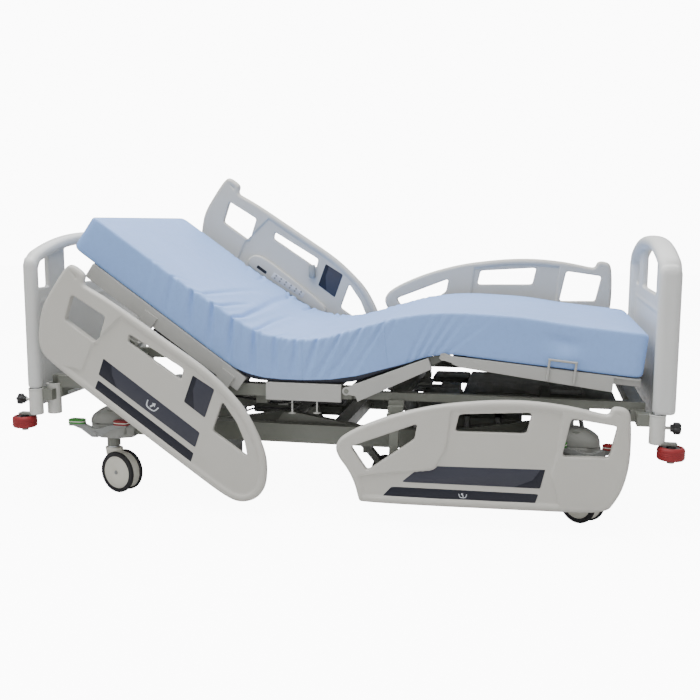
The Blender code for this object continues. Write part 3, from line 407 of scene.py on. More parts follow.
def cable(name, points, radius, slot=None):
    """A bent cable through the points, on the upper frame."""
    curve = bpy.data.curves.new(name, "CURVE")
    curve.dimensions = "3D"
    curve.bevel_depth = radius
    curve.bevel_resolution = 4
    curve.use_fill_caps = True
    curve.resolution_u = 10
    line = curve.splines.new("BEZIER")
    line.bezier_points.add(len(points) - 1)
    for knot, point in zip(line.bezier_points, points):
        knot.co = point
        knot.handle_left_type = knot.handle_right_type = "AUTO"
    obj = bpy.data.objects.new(name, curve)
    bpy.context.scene.collection.objects.link(obj)
    mesh = applied(obj)
    bm = bmesh.new()
    bm.from_mesh(mesh)
    bmesh.ops.remove_doubles(bm, verts=bm.verts[:], dist=1e-5)
    bmesh.ops.recalc_face_normals(bm, faces=bm.faces[:])
    return add_piece(name, make_mesh(name, bm), "cable", "upper_frame", slot=slot)


def rounded(x0, x1, y0, y1, r, count=6):
    """A rectangle's outline with rounded corners."""
    points = []
    for cx, cy, start in ((x1 - r, y1 - r, 0), (x0 + r, y1 - r, 90), (x0 + r, y0 + r, 180),
                          (x1 - r, y0 + r, 270)):
        for i in range(count + 1):
            t = math.radians(start + 90 * i / count)
            points.append((cx + r * math.cos(t), cy + r * math.sin(t)))
    return np.array(points)


def shrunk(loop, amount):
    return loop + inward(loop) * amount


def loft(bm, sections, put=None):
    """A closed solid through (outline, height) sections with the same number of points."""
    put = put or flat_put
    rings = [[bm.verts.new(put(a, b, h)) for a, b in loop] for loop, h in sections]
    ring_faces(bm, rings, closed=False, caps=True)


def pad(name, loop, low, high, edge, finish, body, matrix=None, put=None):
    """A plate with rounded edges: the outline steps in towards its top and bottom faces."""
    bm = bmesh.new()
    steps = [(edge, low), (edge * 0.29, low + edge * 0.29), (0, low + edge)]
    steps += [(0, high - edge), (edge * 0.29, high - edge * 0.29), (edge, high)]
    loft(bm, [(shrunk(loop, s), h) for s, h in steps], put)
    mesh = make_mesh(name, bm)
    if matrix:
        placed(mesh, matrix)
    return add_piece(name, mesh, finish, body)


# Side rails. Each is drawn once in (u, y, v): u along the rail, v up it, y out from the bed's middle.
# Their outlines are in millimetres, as (u, v).

HEAD_OUTLINE = [
    (1000, 300), (999, 190), (993, 142), (976, 99), (946, 43), (908, 10), (848, 3), (708, 0), (220, 0),
    (82, 3), (34, 22), (2, 65), (0, 117), (29, 172), (68, 217), (136, 261), (217, 301), (296, 317),
    (371, 327), (440, 329), (540, 325), (674, 321), (806, 316), (875, 309), (903, 305), (915, 310),
    (919, 330), (930, 339), (958, 341), (980, 339), (993, 330),
]
HEAD_WINDOWS = [
    [(927, 252), (784, 262), (756, 164), (900, 163)],
    [(684, 262), (461, 279), (446, 243), (673, 236)],
    [(288, 271), (260, 165), (113, 168), (150, 205), (205, 240)],
]
FOOT_OUTLINE = [
    (0, 182), (11, 210), (35, 232), (88, 262), (189, 304), (322, 341), (451, 359), (547, 367), (642, 367),
    (735, 358), (798, 347), (862, 333), (872, 338), (876, 353), (888, 361), (915, 358), (931, 348),
    (938, 322), (942, 251), (940, 173), (924, 100), (901, 53), (873, 15), (684, 9), (86, 0), (80, 13),
    (66, 68), (41, 116), (14, 148),
]
FOOT_WINDOWS = [
    [(408, 314), (636, 329), (621, 261), (396, 257)],
    [(758, 317), (898, 298), (876, 196), (733, 194)],
    [(54, 191), (275, 278), (265, 226), (109, 112)],
]
RAILS = {
    "head": {
        "outline": HEAD_OUTLINE, "windows": HEAD_WINDOWS, "datum": (0.213, -0.159), "arms": (0.34, 0.68),
        "pivot": 0.115,
        "cheeks": [[
            (752, 55), (772, 150), (738, 306), (806, 306), (907, 297), (980, 315), (989, 190), (983, 142),
            (966, 102), (938, 49), (905, 16), (848, 13),
        ]],
    },
    "foot": {
        "outline": FOOT_OUTLINE, "windows": FOOT_WINDOWS, "datum": (0.04, 0.0565), "arms": (0.19, 0.7),
        "pivot": 0.34,
        "cheeks": [[
            (330, 130), (368, 200), (384, 344), (322, 331), (189, 294), (88, 252), (20, 210), (10, 182),
            (41, 130), (72, 90), (120, 100),
        ], [
            (700, 130), (722, 205), (732, 348), (798, 338), (859, 325), (915, 337), (932, 251), (930, 173),
            (914, 100), (891, 53), (863, 25), (735, 20),
        ]],
    },
}
ARM_STEP = 0.05
RAIL_MIDDLE = (RAIL_INNER + RAIL_OUTER) / 2
RAIL_HALF = (RAIL_OUTER - RAIL_INNER) / 2
PANEL_OUT, PANEL_IN = RAIL_OUTER - 0.007, RAIL_INNER + 0.006


def rail_put(a, b, c):
    return (a, c, b)


def across_put(a, b, c):
    return (c, a, b)


def flat_put(a, b, c):
    return (a, b, c)


def rail_place(which, side_name):
    """Takes (u, y, v) to its place on the bed; the far rails stand raised."""
    side = SIDES[side_name]
    u0, v0 = RAILS[which]["datum"]
    lift = RAIL_RISE if side_name == "far" else 0.0
    if which == "head":
        return BACK_TILT @ Matrix.Translation((-u0, 0, v0 + lift)) @ Matrix.Diagonal((-1, side, 1, 1))
    return Matrix.Translation((u0, 0, v0 + lift)) @ Matrix.Diagonal((1, side, 1, 1))


def arm_lug(bm, u, v):
    """A pair of lugs on the rail's inner face, with room for the arm's barrel between them."""
    for half in (-1, 1):
        u0, u1 = sorted((u + half * 0.0157, u + half * 0.0262))
        loop = rounded(0.4605, 0.488, v - 0.0115, v + 0.0115, 0.009)
        slab(bm, [loop], u0, u1, across_put)


def rail_shell(which):
    kind = RAILS[which]
    outline = spaced(smoothed(mm(kind["outline"]), 3), 0.006)
    windows = [spaced(smoothed(sharper(mm(w)), 3), 0.005) for w in kind["windows"]]
    bm = bmesh.new()
    slab(bm, [shrunk(outline, 0.01)] + windows, PANEL_IN, PANEL_OUT, rail_put)
    rim(bm, outline, 0.0155, RAIL_HALF, RAIL_MIDDLE, rail_put)
    for cheek in kind["cheeks"]:
        loop = spaced(smoothed(sharper(mm(cheek), 0.25), 2), 0.006)
        inside = [w for w in windows if loop[:, 0].min() < w[:, 0].mean() < loop[:, 0].max()]
        slab(bm, [loop] + inside, RAIL_INNER + 0.0007, RAIL_OUTER - 0.0007, rail_put)
    return remeshed(bm, which + "_rail_shell", 0.003, 4)


def sharper(points, keep=0.16):
    """Adds points near each corner so that corner cutting rounds it only a little."""
    out = []
    for i, p in enumerate(points):
        before, after = Vector(points[i - 1]), Vector(points[(i + 1) % len(points)])
        p = Vector(p)
        out += [tuple(p + (before - p) * keep), tuple(p), tuple(p + (after - p) * keep)]
    return out


def mm(points):
    return [(a / 1000, b / 1000) for a, b in points]


def lug_mesh(which):
    kind = RAILS[which]
    bm = bmesh.new()
    pivot = kind["pivot"] - RAIL_RISE / 2 - kind["datum"][1]
    for index, u in enumerate(kind["arms"]):
        arm_lug(bm, u, pivot - ARM_STEP * index)
    return make_mesh(which + "_rail_lugs", bm)


# Flush panels on the rails' outer faces, as (name, finish, outline).
HEAD_PANELS = [
    ("stripe", "slate", [(712, 135), (291, 133), (276, 80), (696, 78)]),
    ("stripe_end", "navy", [(712, 135), (677, 134.8), (655, 106), (615, 78.4), (696, 78)]),
    ("lower_stripe", "navy", [(687, 60), (269, 60), (259, 25), (680, 27)]),
    ("square", "slate", [(421, 282), (333, 288), (306, 187), (396, 188)]),
    ("square_end", "navy", [(421, 282), (404, 283), (392, 240), (352, 187.5), (396, 188)]),
]
FOOT_PANELS = [
    ("stripe", "slate", [(291, 139), (683, 148), (669, 86), (225, 81)]),
    ("stripe_end", "navy", [(683, 148), (668, 146.6), (645, 112), (585, 85), (669, 86)]),
    ("lower_stripe", "navy", [(192, 63), (664, 67), (652, 28), (152, 19)]),
]


def rail_panels(which, side_name):
    body = f"{which}_rail_{side_name}"
    place = rail_place(which, side_name)
    for name, finish, outline in HEAD_PANELS if which == "head" else FOOT_PANELS:
        loop = spaced(smoothed(sharper(mm(outline), 0.1), 2), 0.004)
        over = 0.0004 if name.endswith("_end") else 0.0
        pad(f"{body}_{name}", loop, PANEL_OUT - 0.001, PANEL_OUT + 0.001 + over, 0.0005, finish, body,
            place, rail_put)
        if name.startswith("square"):
            pad(f"{body}_{name}_inner", loop, PANEL_IN - 0.001 - over, PANEL_IN + 0.001, 0.0005, finish,
                body, place, rail_put)
    rail_marks(which, body, place)


def stroke(points, width):
    """The outline of a line of even width."""
    points = np.array(points, float)
    along = np.gradient(points, axis=0)
    along /= np.linalg.norm(along, axis=1)[:, None]
    side = np.stack([-along[:, 1], along[:, 0]], axis=1) * width / 2
    return np.vstack([points + side, (points - side)[::-1]])


def rail_marks(which, body, place):
    """Generic release marks: an arrow over a handle shape."""
    middle, size = ((0.48, 0.106), 0.019) if which == "head" else ((0.425, 0.048), 0.0105)
    centre = np.array(middle)
    bail = [(-1.2, 0.45), (-1.0, -0.45), (-0.55, -0.72), (0.55, -0.72), (1.0, -0.45), (1.2, 0.45)]
    grip = spaced(smoothed(bail, 2, closed=False), 0.12, closed=False)
    arrow = np.array([(-0.16, -0.42), (0.16, -0.42), (0.16, 0.3), (0.46, 0.3), (0.0, 0.86), (-0.46, 0.3),
                      (-0.16, 0.3)])
    lean = math.radians(28)
    turn = np.array([(math.cos(lean), math.sin(lean)), (-math.sin(lean), math.cos(lean))])
    marks = {"handle_mark": stroke(centre + size * grip, size * 0.24),
             "arrow_mark": centre + size * arrow @ turn}
    low = PANEL_OUT + 0.0008
    for name, loop in marks.items():
        bm = bmesh.new()
        slab(bm, [loop], low, low + 0.0007, rail_put)
        add_piece(f"{body}_{name}", placed(make_mesh(name, bm), place), "mark", body)


def rail_pod(side_name):
    """The head rail's inner keypad: a raised housing with a dark display, a keypad and its round keys."""
    body = f"head_rail_{side_name}"
    place = rail_place("head", side_name)
    outline = [(0.298, 0.118), (0.305, 0.098), (0.33, 0.09), (0.69, 0.07), (0.714, 0.088), (0.708, 0.122),
               (0.687, 0.139), (0.64, 0.149), (0.33, 0.138)]
    loop = spaced(smoothed(outline, 3), 0.005)
    bm = bmesh.new()
    steps = [(0.0, 0.487), (0.0, 0.4752), (0.0015, 0.4727), (0.0045, 0.4711), (0.009, 0.4704)]
    loft(bm, [(shrunk(loop, s), h) for s, h in steps], rail_put)
    add_piece(f"{body}_pod", placed(make_mesh("pod", bm), place), "rail", body)
    top = 0.4704
    display = rounded(0.612, 0.662, 0.091, 0.104, 0.003)
    pad(f"{body}_display", display, top - 0.0011, top + 0.0015, 0.0006, "black", body, place, rail_put)
    keypad = sharper([(0.585, 0.093), (0.42, 0.102), (0.42, 0.126), (0.585, 0.121)], 0.08)
    keypad = spaced(smoothed(keypad, 2), 0.004)
    pad(f"{body}_keypad", keypad, top - 0.0009, top + 0.0015, 0.0006, "keys", body, place, rail_put)
    bm = bmesh.new()
    for i in range(6):
        for j in range(2):
            u, v = 0.438 + 0.026 * i, 0.1065 - 0.0016 * (i - 3) + 0.0125 * (j - 0.1)
            key = lathe([(0, -0.0006), (0.0038, -0.0006), (0.0042, -0.0002), (0.0042, 0.0012), (0, 0.0012)],
                        16)
            stand = Matrix.Translation((u, top - 0.0011, v)) @ Matrix.Rotation(math.radians(90), 4, "X")
            bmesh.ops.transform(key, matrix=stand, verts=key.verts[:])
            bm.from_mesh(make_mesh("key", key))
    add_piece(f"{body}_keys", placed(make_mesh("keys", bm), place), "drive", body)
    stub = [(0, -0.026), (0.013, -0.026), (0.0145, -0.023), (0.0145, 0.026), (0.013, 0.0285),
            (0.0105, 0.0285), (0.01, 0.0265), (0, 0.0265)]
    turn = Matrix.Translation((0.45, 0.4745, 0.222)) @ Matrix.Rotation(math.radians(35.0), 4, "Y")
    turned(f"{body}_call_point", stub, 40, place @ turn, "drive", body)


def rails():
    for which in RAILS:
        shell = rail_shell(which)
        lugs = lug_mesh(which)
        for side_name in SIDES:
            name = f"{which}_rail_{side_name}"
            place = rail_place(which, side_name)
            add_piece(name + "_shell", placed(shell.copy(), place), "rail", name, [name], sharp=0)
            add_piece(name + "_lugs", placed(lugs.copy(), place), "rail", name)
            rail_panels(which, side_name)
            if which == "head":
                rail_pod(side_name)


# End boards, drawn with x out from the bed's middle.

BOARD_BOTTOM, BOARD_SHOULDER, BOARD_CROWN, BOARD_HALF = 0.319, 0.864, 0.936, 0.476


def board_top(y):
    return BOARD_CROWN - (BOARD_CROWN - BOARD_SHOULDER) * (abs(y) / BOARD_HALF) ** 2.4


def board_shell(end_name):
    inner, outer = (1.038, 1.087) if end_name == "head" else (1.044, 1.114)
    panel = (inner + 0.024, inner + 0.044)
    ys = np.linspace(-0.462, 0.462, 41)
    outline = [(-0.462, 0.395), (-0.427, 0.395), (-0.415, 0.331), (-0.4, BOARD_BOTTOM)]
    outline += [(-y, z) for y, z in outline[::-1]]
    outline += [(y, board_top(y) - 0.02) for y in ys[::-1]]
    holes = []
    for y0, y1 in ((-0.424, -0.327), (-0.207, 0.207), (0.327, 0.424)):
        hole = [(y0, 0.742), (y1, 0.742)] + [(y, board_top(y) - 0.04) for y in np.linspace(y1, y0, 5)]
        holes.append(spaced(smoothed(sharper(hole, 0.12), 3), 0.006))
    bm = bmesh.new()
    slab(bm, [np.array(outline)] + holes, *panel, across_put)
    frame_line = [(-0.405, 0.7), (0.405, 0.7), (0.405, 0.352), (-0.405, 0.352)]
    field = spaced(smoothed(sharper(frame_line, 0.1), 3), 0.01)
    for face in panel:
        rim(bm, field, 0.006, 0.003, face, across_put, 8)
    half_x = (outer - inner) / 2
    middle = (outer + inner) / 2
    for side in (-1, 1):
        y0, y1 = sorted((side * 0.427, side * 0.476))
        foot = []
        for z, cut in ((0.3885, 0.006), (0.392, 0.002), (0.4, 0.0), (0.64, 0.0), (0.826, 0.0),
                       (0.838, 0.003), (0.847, 0.009), (0.852, 0.016)):
            foot.append((shrunk(rounded(inner, outer, y0, y1, 0.0225, 8), cut), z))
        loft(bm, foot)
    line = [(-0.4515, 0.815)] + [(y * 0.951, board_top(y) - 0.0225) for y in np.linspace(-0.452, 0.452, 33)]
    line += [(0.4515, 0.815)]
    line = spaced(smoothed(line, 2, closed=False), 0.01, closed=False)
    along = np.gradient(line, axis=0)
    along /= np.linalg.norm(along, axis=1)[:, None]
    rings = []
    for p, d in zip(line, along):
        n = np.array([-d[1], d[0]])
        ring = []
        for k in range(20):
            t = 2 * math.pi * k / 20
            c, s = math.cos(t), math.sin(t)
            q = p + n * 0.0225 * math.copysign(abs(c) ** 0.85, c)
            x = middle + half_x * math.copysign(abs(s) ** 0.85, s)
            ring.append(bm.verts.new(across_put(q[0], q[1], x)))
        rings.append(ring)
    ring_faces(bm, rings, closed=False, caps=True)
    return remeshed(bm, end_name + "_shell", 0.004, 4)


def boards():
    for end_name, end in ENDS.items():
        name = end_name + "board"
        mesh = placed(board_shell(end_name), Matrix.Diagonal((end, 1, 1, 1)))
        add_piece(name + "_shell", mesh, "board", name, [name], sharp=0)
        for side_name, side in SIDES.items():
            peg = [(0, 0.304), (0.0175, 0.304), (0.019, 0.306), (0.019, 0.396), (0, 0.396)]
            place = Matrix.Translation((end * POST_X, side * POST_Y, 0))
            turned(f"{name}_peg_{side_name}", peg, 40, place, "steel", name)


# Mattress: one cover over the four foam sections, shaped by sections across the bed.

# Bottom and top of the cover at places along the bed, as (x, z), from the head down.
COVER_LINE = [
    ((-0.9175, 0.8865), (-0.838, 0.9985)), ((-0.76, 0.7765), (-0.6805, 0.888)),
    ((-0.6, 0.6645), (-0.5205, 0.776)), ((-0.46, 0.5665), (-0.395, 0.698)),
    ((-0.36, 0.497), (-0.312, 0.644)), ((-0.275, 0.446), (-0.236, 0.608)),
    ((-0.18, 0.4385), (-0.16, 0.592)), ((-0.09, 0.438), (-0.09, 0.588)), ((0.0, 0.4395), (-0.015, 0.597)),
    ((0.085, 0.447), (0.06, 0.619)), ((0.165, 0.4745), (0.142, 0.644)), ((0.244, 0.505), (0.226, 0.668)),
    ((0.326, 0.5365), (0.318, 0.684)), ((0.408, 0.548), (0.409, 0.69)), ((0.5, 0.5405), (0.506, 0.688)),
    ((0.63, 0.5275), (0.64, 0.68)), ((0.76, 0.5155), (0.772, 0.662)), ((0.9, 0.502), (0.915, 0.647)),
    ((1.015, 0.4915), (1.031, 0.636)),
]
COVER_Y, COVER_T = 0.418, 0.137
COVER_STEP = 0.014
COVER_SWELL = 0.0075      # how far a point may move in the simulation
CLOTH_FRAMES = 20
FINE_STEP, FINE_X = 0.008, (-0.62, 0.28)   # closer rows where the cover creases
# The dark base of the cover shows below this line on its sides, as (x, z).
SKIRT_LINE = [(-0.4, 0.49), (-0.369, 0.497), (-0.325, 0.479), (-0.271, 0.46), (-0.222, 0.451),
              (-0.168, 0.4475), (-0.082, 0.4475), (0.007, 0.453), (0.095, 0.468), (0.183, 0.493),
              (0.24, 0.509), (0.291, 0.524), (0.33, 0.53), (0.36, 0.52)]
SEAT_CUT = ((-0.09, 0.438), (-0.09, 0.588))
THIGH_CUT = ((0.205, 0.489), (0.185, 0.656))


def cover_section(step):
    """Points around the cover at each section as (y, h), h from 0 at the bottom to 1 at the top."""
    corners = rounded(-COVER_Y, COVER_Y, 0.0, COVER_T, 0.01, 3)
    loop = []
    for i, point in enumerate(corners):
        after = corners[(i + 1) % len(corners)]
        apart = step if point[1] == after[1] else step * 0.72
        count = max(1, round(float(np.linalg.norm(after - point)) / apart))
        loop += [point + (after - point) * j / count for j in range(count)]
    return np.array(loop)


def eased(points, step):
    """A smooth line through the points, with even steps along it."""
    points = np.array(points, float)
    fine = np.linspace(0, len(points) - 1, 30 * len(points))
    i = np.clip(fine.astype(int), 0, len(points) - 2)
    f = fine - i
    p0, p1 = points[np.clip(i - 1, 0, None)], points[i]
    p2, p3 = points[i + 1], points[np.clip(i + 2, None, len(points) - 1)]
    f = f[:, None]
    line = 0.5 * (2 * p1 + (p2 - p0) * f + (2 * p0 - 5 * p1 + 4 * p2 - p3) * f ** 2
                  + (3 * p1 - p0 - 3 * p2 + p3) * f ** 3)
    middle = (line[:, :2] + line[:, 2:]) / 2
    length = np.concatenate([[0], np.cumsum(np.linalg.norm(np.diff(middle, axis=0), axis=1))])
    at = [0.0]
    while at[-1] < length[-1]:
        x = np.interp(at[-1], length, middle[:, 0])
        at.append(at[-1] + (FINE_STEP if FINE_X[0] < x < FINE_X[1] else step))
    at = np.array(at) * length[-1] / at[-1]
    return np.stack([np.interp(at, length, line[:, k]) for k in range(4)], axis=1)


def cover_blank():
    """The cover before simulation, and its sections as rows of (bottom x, z, top x, z)."""
    rows = eased([(*b, *t) for b, t in COVER_LINE], COVER_STEP)
    loop = cover_section(0.02)
    bm = bmesh.new()
    rings = []
    for r, (bx, bz, tx, tz) in enumerate(rows):
        ring = []
        end = min(r, len(rows) - 1 - r)
        tuck = (0.006, 0.0015, 0.0)[min(end, 2)]
        for y, h in loop:
            k = 0.5 + (h / COVER_T - 0.5) * (1 - 2 * tuck / COVER_T)
            ring.append(bm.verts.new((bx + (tx - bx) * k, y * (1 - tuck / COVER_Y), bz + (tz - bz) * k)))
        rings.append(ring)
    ring_faces(bm, rings, closed=False, caps=False)
    for ring in (rings[0], rings[-1]):
        cap_grid(bm, ring)
    bmesh.ops.recalc_face_normals(bm, faces=bm.faces[:])
    return bm, rows


def cap_grid(bm, ring):
    """Closes an end with rings that step inward, so that it can swell as evenly as the sides."""
    current = ring
    centre = sum((v.co for v in ring), Vector()) / len(ring)
    for step in range(1, 6):
        inner = []
        for v in ring:
            away = v.co - centre
            y = math.copysign(max(0.0, abs(away.y) - 0.0115 * step), away.y)
            up = Vector((away.x, 0, away.z)) * (1 - step / 6.2)
            inner.append(bm.verts.new((centre.x + up.x, centre.y + y, centre.z + up.z)))
        for i in range(len(ring)):
            j = (i + 1) % len(ring)
            bm.faces.new((current[i], current[j], inner[j], inner[i]))
        current = inner
    bm.faces.new(current)


def heights(points, rows):
    """How far up the cover each point lies: 0 at its bottom and 1 at its top."""
    nearest = np.full(len(points), 1e9)
    out = np.zeros(len(points))
    flat = points[:, [0, 2]]
    for bx, bz, tx, tz in rows:
        rise = np.array((tx - bx, tz - bz))
        k = np.clip((flat - (bx, bz)) @ rise / (rise @ rise), 0.0, 1.0)
        gap = np.linalg.norm(flat - (bx, bz) - k[:, None] * rise, axis=1)
        nearer = gap < nearest
        nearest[nearer], out[nearer] = gap[nearer], k[nearer]
    return out


def simulate(obj, cap):
    """Swells the cover by cloth pressure and caps how far each point may move."""
    rest = np.array([v.co for v in obj.data.vertices])
    cloth = obj.modifiers.new("Cloth", "CLOTH")
    s = cloth.settings
    s.quality = 5
    s.mass = 0.3
    s.tension_stiffness = s.compression_stiffness = 18
    s.shear_stiffness = 8
    s.bending_stiffness = 0.6
    s.use_pressure = True
    s.uniform_pressure_force = 4.0
    s.effector_weights.gravity = 0.0
    s.shrink_min = -0.03
    s.vertex_group_mass = "held"
    cloth.collision_settings.use_collision = False
    cloth.point_cache.frame_start = 1
    cloth.point_cache.frame_end = CLOTH_FRAMES
    scene = bpy.context.scene
    for number in range(1, CLOTH_FRAMES + 1):
        scene.frame_set(number)
    graph = bpy.context.evaluated_depsgraph_get()
    mesh = obj.evaluated_get(graph).to_mesh()
    moved = np.array([v.co for v in mesh.vertices])
    obj.modifiers.clear()
    scene.frame_set(1)
    shift = moved - rest
    size = np.linalg.norm(shift, axis=1)
    shift *= (np.minimum(size, cap) / np.maximum(size, 1e-9))[:, None]
    obj.data.vertices.foreach_set("co", (rest + shift).astype(np.float32).ravel())
    obj.data.update()


# Creases: how deep, the fold's lean below the edge, and its path over the top as (x, y) from the near edge.
CREASES = [
    (0.0035, -0.03, ((-0.625, -0.42), (-0.598, -0.36))),
    (0.0055, -0.03, ((-0.548, -0.42), (-0.512, -0.34))),
    (0.009, -0.02, ((-0.477, -0.42), (-0.449, -0.39), (-0.437, -0.2), (-0.424, -0.02), (-0.405, 0.16))),
    (0.011, -0.02, ((-0.406, -0.42), (-0.385, -0.395), (-0.378, -0.29), (-0.362, -0.13))),
    (0.013, -0.02, ((-0.335, -0.42), (-0.322, -0.335), (-0.329, -0.1), (-0.343, 0.15), (-0.34, 0.33),
                    (-0.312, 0.42))),
    (0.0115, -0.01, ((-0.259, -0.42), (-0.252, -0.365), (-0.26, -0.17), (-0.256, 0.05))),
    (0.009, -0.01, ((-0.184, -0.42), (-0.166, -0.38), (-0.16, -0.3))),
    (0.008, -0.02, ((-0.111, -0.42), (-0.098, -0.38), (-0.096, -0.31))),
    (0.0075, -0.05, ((-0.039, -0.42), (-0.016, -0.38), (0.0, -0.32))),
    (0.007, -0.1, ((0.041, -0.42), (0.066, -0.38), (0.085, -0.3))),
    (0.006, -0.13, ((0.114, -0.42), (0.14, -0.37))), (0.0045, -0.14, ((0.195, -0.42), (0.22, -0.38))),
]
# Folds that fan out from the knee over the side: (x at the top, x at the bottom, depth).
KNEE_FOLDS = [(0.352, 0.268, 0.0042), (0.388, 0.298, 0.005), (0.424, 0.33, 0.0048), (0.466, 0.356, 0.0044),
              (0.556, 0.39, 0.0034)]
CREASE_EDGE = 0.42        # how far out the crease paths start
WIRE_X = 0.78            # where the retainer wire presses into the cover
FINE_PUCKERS = 30


def furrow(away, width):
    """A valley with a soft ridge on each side."""
    valley = np.exp(-(away / width) ** 2)
    ahead = np.exp(-((away - 2.3 * width) / (1.5 * width)) ** 2)
    behind = np.exp(-((away + 2.2 * width) / (1.4 * width)) ** 2)
    return valley - 0.42 * (ahead + 0.5 * behind)


def crease_shift(points, normals, up):
    """How far each point moves in where the cover puckers; each crease starts in a notch on the top edge."""
    x, y = points[:, 0], points[:, 1]
    side = normals[:, 1] ** 2
    top = np.where(up > 0.5, 1 - side, 0)
    out = np.zeros(len(points))
    for index, (depth, lean, path) in enumerate(CREASES):
        for sign in (-1, 1):
            path_x, path_y = np.array(path).T
            drift = 0.0 if sign < 0 else 0.026 * math.sin(2.3 * index + 1)
            reach = path_y[-1] + CREASE_EDGE if sign < 0 else 0.06 + 0.05 * (index % 3)
            inset = CREASE_EDGE - sign * y
            across = np.interp(np.clip(inset, 0, None) - CREASE_EDGE, path_y, path_x) + drift
            fade = np.clip(1 - inset / (reach + 0.01), 0, 1) ** 0.55
            width = 0.0062 + 0.012 * np.clip(inset, 0, 0.5)
            on_top = top * depth * 0.75 * fade * furrow(x - across, width)
            down = 1 - up
            fold_x = path_x[0] + drift + lean * down
            fold = side * (y * sign > 0) * depth * np.clip(1 - down, 0, 1) ** 0.6
            on_side = fold * furrow(x - fold_x, 0.0058 * (1 + 0.9 * down))
            out += on_top * (inset < 2 * CREASE_EDGE) + on_side
    for top_x, bottom_x, depth in KNEE_FOLDS:
        line = bottom_x + (top_x - bottom_x) * up
        out += side * depth * np.clip(1.1 - up, 0, 1) ** 0.8 * furrow(x - line, 0.0065)
    for index in range(FINE_PUCKERS):
        at = -0.64 + 0.0315 * index + 0.009 * math.sin(5.1 * index)
        slant = -0.02 if at < -0.15 else -0.09
        depth = 0.0014 + 0.0009 * math.sin(1.7 * index) ** 2
        reach = np.clip((up - 0.45 - 0.2 * math.sin(3.3 * index)) / 0.5, 0, 1)
        near_edge = np.clip(1 - (COVER_Y - np.abs(y)) / 0.03, 0, 1) * top + side
        out += near_edge * depth * reach * furrow(x - at - slant * (1 - up), 0.005)
    bulge = np.exp(-((x - WIRE_X) / 0.04) ** 2) * np.exp(-((up - 0.26) / 0.16) ** 2)
    tuck = np.exp(-((x - WIRE_X + 0.11 * (up - 0.5)) / 0.05) ** 2) * np.exp(-((up - 0.6) / 0.1) ** 2)
    return out + side * (0.0065 * tuck - 0.01 * bulge)


def cover_mesh():
    bm, rows = cover_blank()
    obj = bpy.data.objects.new("mattress_cover", make_mesh("mattress_cover", bm))
    bpy.context.scene.collection.objects.link(obj)
    held = obj.vertex_groups.new(name="held")
    up = heights(np.array([v.co for v in obj.data.vertices]), rows)
    held.add([int(i) for i in np.flatnonzero(up < 0.02)], 1.0, "REPLACE")
    simulate(obj, COVER_SWELL)
    step = obj.modifiers.new("finer", "SUBSURF")
    step.levels = step.render_levels = 1
    mesh = applied(obj)
    points = np.array([v.co for v in mesh.vertices])
    normals = np.array([v.normal for v in mesh.vertices])
    up = heights(points, rows)
    points -= normals * crease_shift(points, normals, up)[:, None]
    mesh.vertices.foreach_set("co", points.astype(np.float32).ravel())
    mesh.update()
    edge = np.interp(points[:, 0], *np.array(SKIRT_LINE).T, left=-1.0, right=0.0)
    above = mesh.attributes.new("above_skirt", "FLOAT", "POINT")
    above.data.foreach_set("value", (points[:, 2] - edge).astype(np.float32))
    dark = [int(f.normal.z < -0.35 and up[list(f.vertices)].max() < 0.12) for f in mesh.polygons]
    mesh.polygons.foreach_set("material_index", dark)
    return mesh


def cut_plane(pair):
    """A plane across the bed through a bottom and a top point: (point, normal towards the foot)."""
    low, high = Vector((pair[0][0], 0, pair[0][1])), Vector((pair[1][0], 0, pair[1][1]))
    rise = high - low
    return low, Vector((rise.z, 0, -rise.x)).normalized()


def cover_part(mesh, name, after, before):
    """The closed part of the cover between two cutting planes."""
    bm = bmesh.new()
    bm.from_mesh(mesh)
    for pair, sign in ((after, -1), (before, 1)):
        if not pair:
            continue
        point, normal = cut_plane(pair)
        geom = bm.verts[:] + bm.edges[:] + bm.faces[:]
        cut = bmesh.ops.bisect_plane(bm, geom=geom, plane_co=point, plane_no=normal * sign,
                                     clear_outer=True)
        edges = [g for g in cut["geom_cut"] if isinstance(g, bmesh.types.BMEdge)]
        bmesh.ops.holes_fill(bm, edges=edges, sides=0)
    return add_piece(name, make_mesh(name, bm), ["mattress", "underside"], slot="mattress_cover", sharp=0)


def mattress():
    mesh = cover_mesh()
    head = cover_part(mesh, "mattress_head_cover", None, SEAT_CUT)
    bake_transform(head)
    middle = cover_part(mesh, "mattress_seat_cover", SEAT_CUT, THIGH_CUT)
    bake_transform(middle)
    foot = cover_part(mesh, "mattress_foot_cover", THIGH_CUT, None)
    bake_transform(foot)
    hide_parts("mattress_back", "mattress_seat")
    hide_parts("mattress_thigh")
    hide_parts("mattress_calf")


# Castors, covers and pedals

